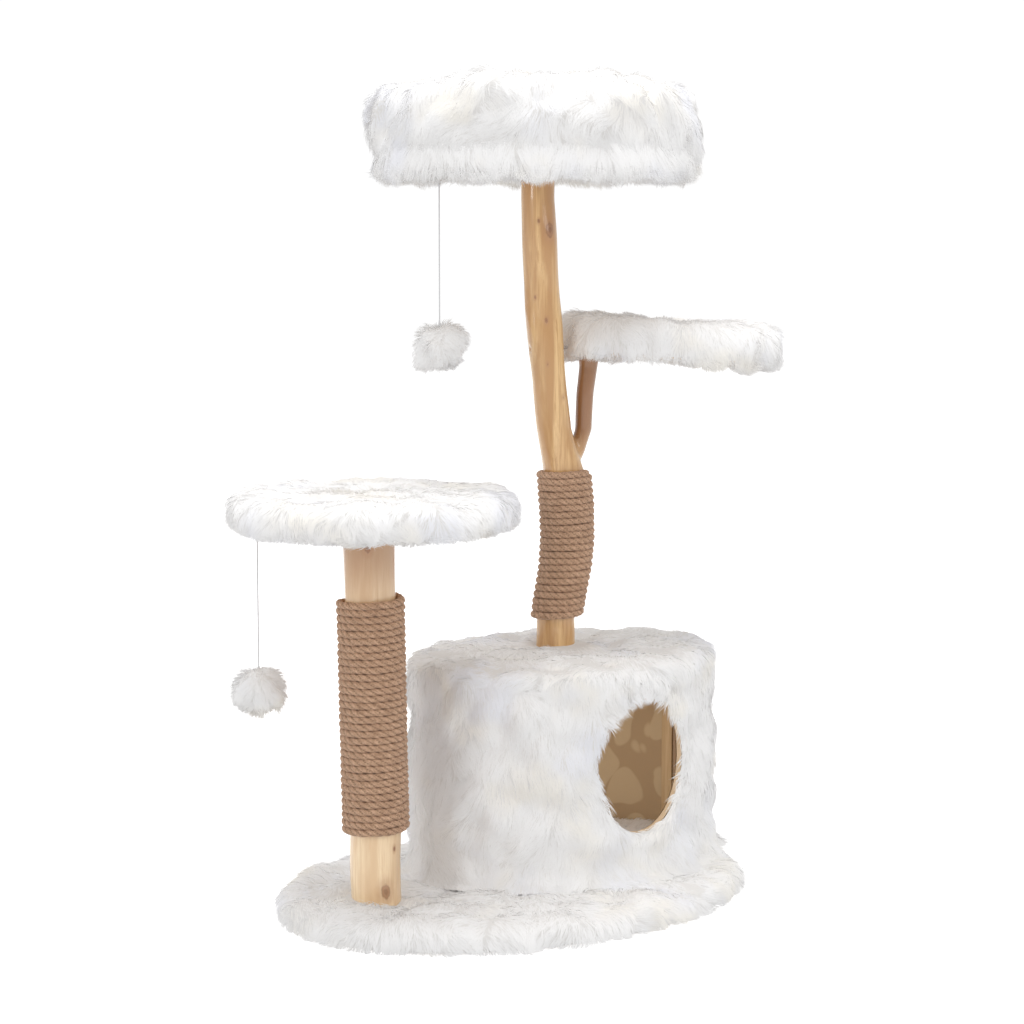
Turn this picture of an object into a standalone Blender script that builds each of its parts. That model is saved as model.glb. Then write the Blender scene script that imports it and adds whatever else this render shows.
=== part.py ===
"""A cat tree: an oval fur-covered base with a drum condo, two posts, two perches, a bed and two toys.

Metres, +Z up. The origin is the middle of the base's underside, on the floor. +X runs along the base's
long axis towards the condo, and the condo's doorway faces -Y. Each object is one physical piece.
"""

import math

import bmesh
import bpy
from mathutils import Matrix, Vector

# Clearances between pieces that touch.
FIT_GAP = 0.0003
BENT_WALL_GAP = 0.0008
ROPE_GAP = 0.0010

# Cloth and boards.
FUR = 0.014
HEM = 0.008
HEM_WIDTH = 0.010
BOARD = 0.015

# Base: its length follows from what stands on it.
BASE_HALF_WIDTH = 0.222
BASE_BOARD = 0.024
UNDERLAY = 0.002
UNDERLAY_INSET = 0.012
FUR_EDGE_ROUND = 0.007

# Condo: an oval drum, set in from the base's right end and from its back.
CONDO_HALF_LENGTH = 0.2115
CONDO_HALF_WIDTH = 0.151
CONDO_HEIGHT = 0.281
CONDO_END_INSET = 0.0067
CONDO_BACK_INSET = 0.041
CONDO_WALL = 0.009
CONDO_END_BOARD = 0.012
LINER = 0.003
DOOR_TURN = math.radians(-82)
DOOR_WIDTH = 0.158
DOOR_SILL = 0.062
DOOR_HEADER = 0.031
SEAM_TURN = math.radians(12)
SEAM_WIDTH = 0.002
BATTEN_WIDTH = 0.018
BATTEN = 0.003
FIRST_WALL_SCREW_TURN = math.radians(50)
FLOOR_SCREW_SPREAD = 0.6

# Short post: a natural pole that leans a little, between the base's left end and the condo.
SHORT_POST_INSET = 0.0934
SHORT_POST_TO_CONDO = 0.1089
SHORT_POST_Y = -0.022
SHORT_POST_LEAN = -0.0094
SHORT_POST_LENGTH = 0.5064
SHORT_POST_RADIUS = 0.0340
SHORT_POST_FOOT_RADIUS = 0.0333
SHORT_ROPE = 0.0092
SHORT_ROPE_HEIGHT = 0.0904
SHORT_ROPE_LENGTH = 0.307

# Lower perch.
LOWER_PERCH_OFFSET = 0.0069
LOWER_PERCH_RADIUS = 0.1690
LOWER_PERCH_PAD = 0.0115

# Tall post: where it stands, from the condo's middle, and its length from the roof to the bed.
TALL_POST_OFFSET = (0.0032, 0.025)
TALL_POST_LENGTH = 0.6625
TALL_POST_FOOT_RADIUS = 0.0270

# Stations of its trunk and of its side branch: (x and y from its foot, height above the roof, half width
# in X, half width in Y). Each is a natural piece of wood that is cut to length at its top.
TRUNK = (
    (0.0010, 0.0000, 0.051, 0.0268, 0.0262),
    (0.0160, 0.0015, 0.118, 0.0279, 0.0268),
    (0.0210, 0.0030, 0.158, 0.0286, 0.0272),
    (0.0190, 0.0025, 0.208, 0.0294, 0.0276),
    (0.0135, 0.0010, 0.253, 0.0290, 0.0272),
    (0.0045, 0.0000, 0.283, 0.0262, 0.0256),
    (-0.0029, 0.0000, 0.313, 0.0240, 0.0240),
    (-0.0085, 0.0005, 0.358, 0.0237, 0.0236),
    (-0.0124, 0.0005, 0.403, 0.0236, 0.0236),
    (-0.0170, 0.0010, 0.448, 0.0240, 0.0238),
    (-0.0207, 0.0020, 0.493, 0.0240, 0.0238),
    (-0.0245, 0.0025, 0.568, 0.0235, 0.0236),
    (-0.0280, 0.0030, 0.623, 0.0230, 0.0232),
    (-0.0280, 0.0030, 0.663, 0.0230, 0.0232),
)
BRANCH_ROOT = (
    (0.0170, 0.0000, 0.248, 0.0120, 0.0120),
    (0.0330, -0.0005, 0.278, 0.0135, 0.0130),
    (0.0440, -0.0020, 0.308, 0.0130, 0.0128),
    (0.0458, -0.0030, 0.358, 0.0126, 0.0124),
)
BRANCH_HEAD = (0.0500, -0.0035)
BRANCH_RADIUS = 0.0127
BRANCH_HEAD_RADIUS = 0.0160
BRANCH_FLARE = 0.018
BRANCH_OVER = 0.012
TALL_ROPE = 0.0088
TALL_ROPE_HEIGHT = 0.051
TALL_ROPE_LENGTH = 0.202

# Mid perch: it stands on the branch beside the trunk, and droops a little, away from it.
MID_PERCH_HEIGHT = 0.4128
MID_PERCH_RADIUS = 0.1470
MID_PERCH_PAD = 0.022
MID_PERCH_DROOP = math.radians(4)
MID_PERCH_TRUNK_GAP = 0.007

# Bed.
BED_OFFSET = (0.0010, 0.008)
BED_BOARD_RADIUS = 0.202
BED_BOLSTER_INNER = 0.088
BED_BOLSTER_OUTER = 0.221
BED_BOLSTER_HEIGHT = 0.113
BED_CUSHION = 0.030
BED_SKIRT = 0.013
BED_HEM_WIDTH = 0.030

# Fasteners.
BOLT_RADIUS = 0.004
BOLT_HEAD_RADIUS = 0.0075
BOLT_HEAD = 0.005
BOLT_GRIP = 0.045
WASHER_RADIUS = 0.014
WASHER = 0.002
SCREW_RADIUS = 0.002
SCREW_HEAD_RADIUS = 0.004
SCREW_HEAD = 0.002
FLOOR_SCREW_BITE = 0.009
WALL_SCREW_BITE = 0.014
EDGE_SCREW_RADIUS = 0.0025
EDGE_SCREW_HEAD_RADIUS = 0.005
EDGE_SCREW_BITE = 0.030
EDGE_SCREW_OFFSET = 0.011

# Hanging toys: each one's turn about its board, how far it is in from the board's edge, and how far its
# pom-pom's middle is below the board.
LOWER_TOY_TURN = math.radians(145.5)
LOWER_TOY_INSET = 0.0192
LOWER_TOY_DROP = 0.218
UPPER_TOY_TURN = math.radians(185.75)
UPPER_TOY_INSET = 0.0422
UPPER_TOY_DROP = 0.235
POMPOM_RADIUS = 0.036
STRING_RADIUS = 0.0008
STRING_STEP = 0.0045
EYE_RADIUS = 0.0050
EYE_WIRE = 0.0010
EYE_SHANK = 0.009
LOOP_RADIUS = 0.0045
LOOP_WIRE = 0.0008
LINK_GAP = 0.0002

# Facets.
OVAL_SIDES = 48
ROUND_SIDES = 36
POST_SIDES = 16
SMALL_SIDES = 8
WIRE_SIDES = 6
RING_SIDES = 14
BOLSTER_SIDES = 12
POMPOM_SIDES = 16

# Levels and places that follow from the sizes above.
BASE_BOARD_BOTTOM = UNDERLAY + FIT_GAP
BASE_BOARD_TOP = BASE_BOARD_BOTTOM + BASE_BOARD
BASE_TOP = BASE_BOARD_TOP + FIT_GAP + FUR
BASE_HALF_LENGTH = (CONDO_END_INSET + 2 * CONDO_HALF_LENGTH + SHORT_POST_TO_CONDO + SHORT_POST_INSET) / 2
CONDO_X = BASE_HALF_LENGTH - CONDO_END_INSET - CONDO_HALF_LENGTH
CONDO_Y = BASE_HALF_WIDTH - CONDO_BACK_INSET - CONDO_HALF_WIDTH
CONDO_BOTTOM = BASE_TOP + FIT_GAP
CONDO_TOP = CONDO_BOTTOM + CONDO_HEIGHT
CONDO_ROOF_BOTTOM = CONDO_TOP - BOARD
FLOOR_BOARD_TOP = CONDO_BOTTOM + CONDO_END_BOARD
INNER_HALF_LENGTH = CONDO_HALF_LENGTH - CONDO_WALL - BENT_WALL_GAP
INNER_HALF_WIDTH = CONDO_HALF_WIDTH - CONDO_WALL - BENT_WALL_GAP
DOOR_HEIGHT = CONDO_HEIGHT - DOOR_SILL - DOOR_HEADER
SHORT_POST_BOTTOM = BASE_BOARD_TOP + FIT_GAP
LOWER_PERCH_SEAT = SHORT_POST_BOTTOM + SHORT_POST_LENGTH
SHORT_POST_FOOT = (SHORT_POST_INSET - BASE_HALF_LENGTH, SHORT_POST_Y)
SHORT_POST_HEAD = (SHORT_POST_FOOT[0] + SHORT_POST_LEAN, SHORT_POST_Y)
LOWER_PERCH_PLACE = (SHORT_POST_HEAD[0] + LOWER_PERCH_OFFSET, SHORT_POST_Y)
TALL_POST_BOTTOM = CONDO_TOP + FIT_GAP
TALL_POST_X = CONDO_X + TALL_POST_OFFSET[0]
TALL_POST_Y = CONDO_Y + TALL_POST_OFFSET[1]
MID_PERCH_SEAT = TALL_POST_BOTTOM + MID_PERCH_HEIGHT
BRANCH_HEAD_X = TALL_POST_X + BRANCH_HEAD[0]
BRANCH_HEAD_Y = TALL_POST_Y + BRANCH_HEAD[1]
BED_SEAT = TALL_POST_BOTTOM + TALL_POST_LENGTH


# ---------------------------------------------------------------- tools for making objects


def clear_scene():
    for obj in list(bpy.data.objects):
        bpy.data.objects.remove(obj, do_unlink=True)


def new_collection(name):
    collection = bpy.data.collections.new(name)
    bpy.context.scene.collection.children.link(collection)
    return collection


def new_material(name, colour, roughness, metallic=0.0):
    material = bpy.data.materials.new(name)
    material.use_nodes = True
    shader = material.node_tree.nodes["Principled BSDF"]
    shader.inputs["Base Color"].default_value = (*colour, 1.0)
    shader.inputs["Roughness"].default_value = roughness
    shader.inputs["Metallic"].default_value = metallic
    material.diffuse_color = (*colour, 1.0)
    return material


def add_piece(name, mesh, material=None):
    """Links a mesh as a piece of the tree or, where it has no material, as a hidden cutter."""
    obj = bpy.data.objects.new(name, mesh)
    (PIECES if material else CUTTERS).objects.link(obj)
    if material:
        mesh.materials.append(material)
        mesh.shade_smooth()
        mesh.set_sharp_from_angle(angle=math.radians(35))
    else:
        obj.hide_render = True
        obj.display_type = "WIRE"
    return obj


def mesh_from(bm, name):
    mesh = bpy.data.meshes.new(name)
    bm.to_mesh(mesh)
    bm.free()
    return mesh


def oval_block(name, centre, half_x, half_y, bottom, top, material=None, sides=OVAL_SIDES, rounding=0.0):
    """An upright oval or round block, with its upper edge rounded where that is asked for."""
    bm = bmesh.new()
    bmesh.ops.create_cone(bm, cap_ends=True, segments=sides, radius1=1, radius2=1, depth=top - bottom)
    bmesh.ops.scale(bm, vec=(half_x, half_y, 1), verts=bm.verts)
    if rounding:
        rim = [edge for edge in bm.edges if all(vert.co.z > 0 for vert in edge.verts)]
        bmesh.ops.bevel(bm, geom=rim, offset=rounding, segments=2, profile=0.5, affect="EDGES")
    obj = add_piece(name, mesh_from(bm, name), material)
    obj.location = (*centre, (bottom + top) / 2)
    return obj


def oval_shell(name, centre, half_x, half_y, bottom, top, wall, material, closed_top=False):
    """An upright oval tube, or a cap with a closed top, whose wall grows outwards (or inwards if < 0)."""
    bm = bmesh.new()
    bmesh.ops.create_cone(
        bm, cap_ends=closed_top, segments=OVAL_SIDES, radius1=1, radius2=1, depth=top - bottom
    )
    bmesh.ops.scale(bm, vec=(half_x, half_y, 1), verts=bm.verts)
    if closed_top:
        under = [face for face in bm.faces if face.calc_center_median().z < -0.49 * (top - bottom)]
        bmesh.ops.delete(bm, geom=under, context="FACES_ONLY")
    obj = add_piece(name, mesh_from(bm, name), material)
    obj.location = (*centre, (bottom + top) / 2)
    thicken = obj.modifiers.new("wall", "SOLIDIFY")
    thicken.thickness = abs(wall)
    thicken.offset = math.copysign(1.0, wall)
    thicken.use_even_offset = True
    return obj


def turned(name, profile, location, material=None, ring=False, steps=ROUND_SIDES):
    """A turned piece: the profile's (radius, z) points run down its outer side."""
    count = len(profile)
    edges = [(i, i + 1) for i in range(count - 1)] + ([(count - 1, 0)] if ring else [])
    mesh = bpy.data.meshes.new(name)
    mesh.from_pydata([(radius, 0, z) for radius, z in profile], edges, [])
    obj = add_piece(name, mesh, material)
    obj.location = location
    screw = obj.modifiers.new("turn", "SCREW")
    screw.steps = screw.render_steps = steps
    screw.use_merge_vertices = True
    screw.merge_threshold = 0.00001
    return obj


def loft(name, rings, material=None, inner=None, sides=POST_SIDES):
    """A closed body through rings (x, y, z, half x, half y), bored through by inner rings if given."""
    loops = list(rings) + (list(reversed(inner)) if inner else [])
    bm = bmesh.new()
    verts = []
    for x, y, z, half_x, half_y in loops:
        turns = [2 * math.pi * i / sides for i in range(sides)]
        verts.append([bm.verts.new((x + half_x * math.cos(t), y + half_y * math.sin(t), z)) for t in turns])
    if inner:
        verts.append(verts[0])
    else:
        bm.faces.new(reversed(verts[0]))
        bm.faces.new(verts[-1])
    for low, high in zip(verts, verts[1:]):
        for i in range(sides):
            j = (i + 1) % sides
            bm.faces.new((low[i], low[j], high[j], high[i]))
    return add_piece(name, mesh_from(bm, name), material)


def cylinder(name, radius, length, location, rotation=(0, 0, 0), material=None, sides=SMALL_SIDES):
    """A round bar along its own Z, centred on its location."""
    bm = bmesh.new()
    bmesh.ops.create_cone(bm, cap_ends=True, segments=sides, radius1=radius, radius2=radius, depth=length)
    obj = add_piece(name, mesh_from(bm, name), material)
    obj.location = location
    obj.rotation_euler = rotation
    return obj


def block(name, size, location, rotation=(0, 0, 0), material=None):
    bm = bmesh.new()
    bmesh.ops.create_cube(bm, size=1)
    bmesh.ops.scale(bm, vec=size, verts=bm.verts)
    obj = add_piece(name, mesh_from(bm, name), material)
    obj.location = location
    obj.rotation_euler = rotation
    return obj


def boolean(obj, other, operation="DIFFERENCE"):
    modifier = obj.modifiers.new(other.name, "BOOLEAN")
    modifier.operation = operation
    modifier.object = other


def drill(pieces, name, radius, length, location, rotation=(0, 0, 0), sides=SMALL_SIDES):
    """Cuts one round hole through several pieces."""
    cutter = cylinder(name, radius, length, location, rotation, sides=sides)
    for piece in pieces:
        boolean(piece, cutter)
    return cutter


def bolt(name, location, radius, head_radius, head, grip, rotation=(0, 0, 0)):
    """A round-headed bolt or screw: its head stands above its own origin, its shank runs below it."""
    profile = (
        (0, head),
        (head_radius * 0.8, head),
        (head_radius, head * 0.6),
        (head_radius, 0),
        (radius, 0),
        (radius, radius - grip),
        (0, -grip),
    )
    obj = turned(name, profile, location, STEEL, steps=SMALL_SIDES)
    obj.rotation_euler = rotation
    return obj


def washer(name, location):
    inner = BOLT_RADIUS + FIT_GAP
    profile = ((inner, WASHER), (WASHER_RADIUS, WASHER), (WASHER_RADIUS, 0), (inner, 0))
    return turned(name, profile, location, STEEL, ring=True, steps=SMALL_SIDES * 2)


def on_oval(half_x, half_y, turn):
    """The point of an oval at this turn, and the direction in which its wall faces there."""
    point = Vector((half_x * math.cos(turn), half_y * math.sin(turn)))
    facing = Vector((half_y * math.cos(turn), half_x * math.sin(turn))).normalized()
    return point, facing


def pointing(direction):
    """The rotation that turns +Z towards a direction."""
    return Vector(direction).to_track_quat("Z", "Y").to_euler()


# ---------------------------------------------------------------- sub-assemblies


def make_base():
    centre = (0, 0)
    oval_block(
        "base_underlay",
        centre,
        BASE_HALF_LENGTH - UNDERLAY_INSET,
        BASE_HALF_WIDTH - UNDERLAY_INSET,
        0,
        UNDERLAY,
        FELT,
    )
    board = oval_block(
        "base_board", centre, BASE_HALF_LENGTH, BASE_HALF_WIDTH, BASE_BOARD_BOTTOM, BASE_BOARD_TOP, PLYWOOD
    )
    cover = oval_shell(
        "base_cover",
        centre,
        BASE_HALF_LENGTH + FIT_GAP,
        BASE_HALF_WIDTH + FIT_GAP,
        BASE_BOARD_BOTTOM,
        BASE_BOARD_TOP + FIT_GAP,
        FUR,
        FUR_CLOTH,
        closed_top=True,
    )
    return board, cover


def make_condo(base_board, base_cover):
    centre = (CONDO_X, CONDO_Y)
    floor = oval_block(
        "condo_floor_board",
        centre,
        INNER_HALF_LENGTH,
        INNER_HALF_WIDTH,
        CONDO_BOTTOM,
        FLOOR_BOARD_TOP,
        PLYWOOD,
    )
    roof = oval_block(
        "condo_roof_board",
        centre,
        INNER_HALF_LENGTH,
        INNER_HALF_WIDTH,
        CONDO_ROOF_BOTTOM,
        CONDO_TOP,
        PLYWOOD,
    )
    wall = oval_shell(
        "condo_wall",
        centre,
        CONDO_HALF_LENGTH,
        CONDO_HALF_WIDTH,
        CONDO_BOTTOM,
        CONDO_TOP,
        -CONDO_WALL,
        PLYWOOD,
    )
    liner = oval_shell(
        "condo_liner",
        centre,
        INNER_HALF_LENGTH,
        INNER_HALF_WIDTH,
        FLOOR_BOARD_TOP + FIT_GAP,
        CONDO_ROOF_BOTTOM - FIT_GAP,
        -LINER,
        FELT,
    )
    cover = oval_shell(
        "condo_cover",
        centre,
        CONDO_HALF_LENGTH + FIT_GAP,
        CONDO_HALF_WIDTH + FIT_GAP,
        CONDO_BOTTOM,
        CONDO_TOP,
        FUR,
        FUR_CLOTH,
    )
    roof_cover = oval_block(
        "condo_roof_cover",
        centre,
        CONDO_HALF_LENGTH + FUR,
        CONDO_HALF_WIDTH + FUR,
        CONDO_TOP + FIT_GAP,
        CONDO_TOP + FIT_GAP + FUR,
        FUR_CLOTH,
        rounding=FUR_EDGE_ROUND,
    )
    mat_inset = LINER + BENT_WALL_GAP
    oval_block(
        "condo_floor_mat",
        centre,
        INNER_HALF_LENGTH - mat_inset,
        INNER_HALF_WIDTH - mat_inset,
        FLOOR_BOARD_TOP + FIT_GAP,
        FLOOR_BOARD_TOP + FIT_GAP + FUR,
        FUR_CLOTH,
        rounding=FUR_EDGE_ROUND,
    )
    cut_doorway((wall, liner, cover))
    cut_seam(wall, liner)
    screw_wall(wall, floor, roof)
    screw_floor(base_board, base_cover, floor)
    return roof, roof_cover


def cut_doorway(pieces):
    point, facing = on_oval(CONDO_HALF_LENGTH, CONDO_HALF_WIDTH, DOOR_TURN)
    bm = bmesh.new()
    depth = 4 * (CONDO_WALL + FUR)
    bmesh.ops.create_cone(bm, cap_ends=True, segments=36, radius1=1, radius2=1, depth=depth)
    bmesh.ops.scale(bm, vec=(DOOR_WIDTH / 2, DOOR_HEIGHT / 2, 1), verts=bm.verts)
    cutter = add_piece("doorway_cutter", mesh_from(bm, "doorway_cutter"))
    cutter.location = (CONDO_X + point.x, CONDO_Y + point.y, CONDO_BOTTOM + DOOR_SILL + DOOR_HEIGHT / 2)
    cutter.rotation_euler = (math.pi / 2, 0, math.atan2(facing.y, facing.x) + math.pi / 2)
    for piece in pieces:
        boolean(piece, cutter)


def cut_seam(wall, liner):
    """The wall's ends meet at one upright joint; a batten covers it in a gap of the liner."""
    point, facing = on_oval(CONDO_HALF_LENGTH - CONDO_WALL / 2, CONDO_HALF_WIDTH - CONDO_WALL / 2, SEAM_TURN)
    turn = (0, 0, math.atan2(facing.y, facing.x))
    middle = (CONDO_BOTTOM + CONDO_TOP) / 2
    joint = (CONDO_X + point.x, CONDO_Y + point.y, middle)
    boolean(wall, block("seam_cutter", (3 * CONDO_WALL, SEAM_WIDTH, 2 * CONDO_HEIGHT), joint, turn))
    inset = CONDO_WALL / 2 + BENT_WALL_GAP + BATTEN / 2 + FIT_GAP
    inside = Vector(joint) - inset * Vector((*facing, 0))
    gap = BATTEN_WIDTH + 2 * BENT_WALL_GAP
    boolean(liner, block("batten_slot_cutter", (4 * LINER, gap, 2 * CONDO_HEIGHT), inside, turn))
    height = CONDO_ROOF_BOTTOM - FLOOR_BOARD_TOP - 2 * FIT_GAP
    inside.z = (CONDO_ROOF_BOTTOM + FLOOR_BOARD_TOP) / 2
    block("condo_wall_batten", (BATTEN, BATTEN_WIDTH, height), inside, turn, PINE)


def screw_wall(wall, floor, roof):
    """Four screws through the wall into each end board."""
    rows = ((CONDO_BOTTOM + CONDO_END_BOARD / 2, floor), (CONDO_TOP - BOARD / 2, roof))
    number = 0
    for level, board in rows:
        for quarter in range(4):
            number += 1
            turn = FIRST_WALL_SCREW_TURN + quarter * math.pi / 2
            point, facing = on_oval(CONDO_HALF_LENGTH, CONDO_HALF_WIDTH, turn)
            outer = Vector((CONDO_X + point.x, CONDO_Y + point.y, level))
            outward = Vector((*facing, 0))
            turned_to = pointing(outward)
            head_seat = outer - (SCREW_HEAD + 3 * FIT_GAP) * outward
            grip = CONDO_WALL + WALL_SCREW_BITE
            name = f"condo_wall_screw_{number}"
            bolt(name, head_seat, SCREW_RADIUS, SCREW_HEAD_RADIUS, SCREW_HEAD, grip, turned_to)
            pilot = SCREW_RADIUS + FIT_GAP
            drill((wall, board), f"{name}_pilot", pilot, 2 * grip + 2 * FIT_GAP, head_seat, turned_to)
            recess = head_seat + (CONDO_WALL / 2 - FIT_GAP) * outward
            drill((wall,), f"{name}_recess", SCREW_HEAD_RADIUS + FIT_GAP, CONDO_WALL, recess, turned_to)


def screw_floor(base_board, base_cover, floor):
    """Four screws up through the base into the condo's floor board."""
    grip = BASE_BOARD + FUR + FLOOR_SCREW_BITE - SCREW_HEAD
    head_seat = BASE_BOARD_BOTTOM + SCREW_HEAD + FIT_GAP
    upside_down = (math.pi, 0, 0)
    pilot, recess_radius = SCREW_RADIUS + FIT_GAP, SCREW_HEAD_RADIUS + FIT_GAP
    for index, (side_x, side_y) in enumerate(((-1, -1), (1, -1), (1, 1), (-1, 1)), 1):
        x = CONDO_X + side_x * FLOOR_SCREW_SPREAD * INNER_HALF_LENGTH
        y = CONDO_Y + side_y * FLOOR_SCREW_SPREAD * INNER_HALF_WIDTH
        name, place = f"condo_floor_screw_{index}", (x, y, head_seat)
        bolt(name, place, SCREW_RADIUS, SCREW_HEAD_RADIUS, SCREW_HEAD, grip, upside_down)
        drill((base_board, base_cover, floor), f"{name}_pilot", pilot, 2 * (grip + FIT_GAP), place)
        recess = (x, y, head_seat + FIT_GAP - BASE_BOARD / 2)
        drill((base_board,), f"{name}_recess", recess_radius, BASE_BOARD, recess)


def bolt_up(name, place, board_bottom, board, pieces, recessed):
    """A bolt up from under a board into a post: its washer lies under the board, or in a recess."""
    x, y = place
    seat = board_bottom + (BOLT_HEAD + WASHER + 2 * FIT_GAP if recessed else -FIT_GAP)
    head_seat = seat - WASHER - FIT_GAP
    washer(f"{name}_washer", (x, y, seat - WASHER))
    grip = board + BOLT_GRIP
    bolt(f"{name}_bolt", (x, y, head_seat), BOLT_RADIUS, BOLT_HEAD_RADIUS, BOLT_HEAD, grip, (math.pi, 0, 0))
    drill(pieces, f"{name}_bolt_hole", BOLT_RADIUS + FIT_GAP, 2 * (grip + FIT_GAP), (x, y, head_seat))
    if recessed:
        depth = 2 * (seat + FIT_GAP - board_bottom)
        recess = WASHER_RADIUS + FIT_GAP
        at = (x, y, board_bottom)
        drill((pieces[0],), f"{name}_washer_recess", recess, depth, at, sides=2 * SMALL_SIDES)


def bolt_down(name, place, board_top, board, pieces):
    """A bolt down through a board into a post, its head let into the board's top."""
    x, y = place
    head_seat = board_top - BOLT_HEAD - FIT_GAP
    grip = board + BOLT_GRIP - BOLT_HEAD
    bolt(f"{name}_bolt", (x, y, head_seat), BOLT_RADIUS, BOLT_HEAD_RADIUS, BOLT_HEAD, grip)
    drill(pieces, f"{name}_bolt_hole", BOLT_RADIUS + FIT_GAP, 2 * (grip + FIT_GAP), (x, y, head_seat))
    recess, depth = BOLT_HEAD_RADIUS + FIT_GAP, 2 * (board_top - head_seat + FIT_GAP)
    drill((pieces[0],), f"{name}_head_recess", recess, depth, (x, y, board_top))


def post_recess(name, cover, place, radius, level):
    """The hole in a fur cover through which a post passes."""
    drill((cover,), name, radius + FIT_GAP, 4 * FUR, (*place, level), sides=POST_SIDES)


def make_short_post(base_board, base_cover):
    foot, head = Vector(SHORT_POST_FOOT), Vector(SHORT_POST_HEAD)
    bottom, top = SHORT_POST_BOTTOM, LOWER_PERCH_SEAT

    def ring(z, extra=0.0):
        share = (z - bottom) / (top - bottom)
        at = foot.lerp(head, share)
        radius = SHORT_POST_FOOT_RADIUS + share * (SHORT_POST_RADIUS - SHORT_POST_FOOT_RADIUS) + extra
        return (at.x, at.y, z, radius, radius)

    post = loft("short_post", (ring(bottom), ring(top)), PINE)
    rope_bottom = BASE_TOP + SHORT_ROPE_HEIGHT
    levels = (rope_bottom, rope_bottom + SHORT_ROPE_LENGTH)
    outer = [ring(z, ROPE_GAP + SHORT_ROPE) for z in levels]
    inner = [ring(z, ROPE_GAP) for z in levels]
    loft("short_post_rope", outer, SISAL, inner=inner)
    opening = max(SHORT_POST_FOOT_RADIUS, SHORT_POST_RADIUS) + ROPE_GAP
    post_recess("short_post_opening", base_cover, SHORT_POST_FOOT, opening, BASE_TOP)
    bolt_up("short_post", SHORT_POST_FOOT, BASE_BOARD_BOTTOM, BASE_BOARD, (base_board, post), recessed=True)
    return post


def perch(name, place, seat, radius, pad):
    """A round board with foam on it, in a fur cover whose hem turns under the board."""
    board_bottom = seat + FIT_GAP
    board_top = board_bottom + BOARD
    board = oval_block(f"{name}_board", place, radius, radius, board_bottom, board_top, PLYWOOD, ROUND_SIDES)
    pad_bottom = board_top + FIT_GAP
    pad_top = pad_bottom + pad
    oval_block(f"{name}_pad", place, radius, radius, pad_bottom, pad_top, FOAM, ROUND_SIDES)
    inner, outer = radius + FIT_GAP, radius + FUR
    top, bottom = pad_top + FIT_GAP + FUR, seat - HEM
    hem = radius - HEM_WIDTH
    profile = (
        (0, top),
        (outer - 1.2 * FUR, top),
        (outer - 0.35 * FUR, top - 0.35 * FUR),
        (outer, top - 1.2 * FUR),
        (outer, bottom + HEM),
        (outer - 0.6 * HEM, bottom + 0.2 * HEM),
        (outer - 1.5 * HEM, bottom),
        (hem, bottom),
        (hem, seat),
        (inner, seat),
        (inner, pad_top + FIT_GAP),
        (0, pad_top + FIT_GAP),
    )
    cover = turned(f"{name}_cover", profile, (*place, 0), FUR_CLOTH)
    return board, cover


def make_lower_perch(post):
    place = LOWER_PERCH_PLACE
    board, _ = perch("lower_perch", place, LOWER_PERCH_SEAT, LOWER_PERCH_RADIUS, LOWER_PERCH_PAD)
    board_top = LOWER_PERCH_SEAT + FIT_GAP + BOARD
    bolt_down("lower_perch", SHORT_POST_HEAD, board_top, BOARD, (board, post))
    return board


def stand_up(stations, below):
    """Stations of the tall post that are lower than a height above the roof, as rings in place."""
    return [
        (TALL_POST_X + x, TALL_POST_Y + y, TALL_POST_BOTTOM + height, half_x, half_y)
        for x, y, height, half_x, half_y in stations
        if height < below
    ]


def trunk_ring(height):
    """The trunk's ring at a height above the roof, between the two stations on either side of it."""
    foot = (0.0, 0.0, 0.0, TALL_POST_FOOT_RADIUS, TALL_POST_FOOT_RADIUS)
    stations = (foot, *TRUNK)
    above = next((i for i in range(1, len(stations)) if stations[i][2] >= height), len(stations) - 1)
    low, high = stations[above - 1], stations[above]
    share = (height - low[2]) / (high[2] - low[2])
    x, y, _, half_x, half_y = (a + share * (b - a) for a, b in zip(low, high))
    return (TALL_POST_X + x, TALL_POST_Y + y, TALL_POST_BOTTOM + height, half_x, half_y)


def make_tall_post(roof, roof_cover):
    """One natural forked trunk: the side branch is joined to it, and rope is wound round its foot."""
    rings = [trunk_ring(0), *stand_up(TRUNK, TALL_POST_LENGTH), trunk_ring(TALL_POST_LENGTH)]
    trunk = loft("tall_post", rings, HONEY_WOOD)
    heads = (BRANCH_HEAD_X, BRANCH_HEAD_Y)
    neck = (*heads, MID_PERCH_SEAT - BRANCH_FLARE, BRANCH_RADIUS, BRANCH_RADIUS)
    over = (*heads, MID_PERCH_SEAT + BRANCH_OVER, BRANCH_HEAD_RADIUS, BRANCH_HEAD_RADIUS)
    root = stand_up(BRANCH_ROOT, MID_PERCH_HEIGHT - BRANCH_FLARE)
    boolean(trunk, loft("side_branch", (*root, neck, over)), "UNION")
    wind_tall_rope()
    place = (TALL_POST_X, TALL_POST_Y)
    post_recess("tall_post_opening", roof_cover, place, TALL_POST_FOOT_RADIUS + ROPE_GAP, CONDO_TOP)
    bolt_up("tall_post", place, CONDO_ROOF_BOTTOM, BOARD, (roof, trunk), recessed=False)
    return trunk


def wind_tall_rope():
    top = TALL_ROPE_HEIGHT + TALL_ROPE_LENGTH
    between = [ring for ring in TRUNK if ring[2] > TALL_ROPE_HEIGHT]
    wound = [trunk_ring(TALL_ROPE_HEIGHT), *stand_up(between, top), trunk_ring(top)]

    def grown(by):
        return [(x, y, z, half_x + by, half_y + by) for x, y, z, half_x, half_y in wound]

    loft("tall_post_rope", grown(ROPE_GAP + TALL_ROPE), SISAL, inner=grown(ROPE_GAP))


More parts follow.
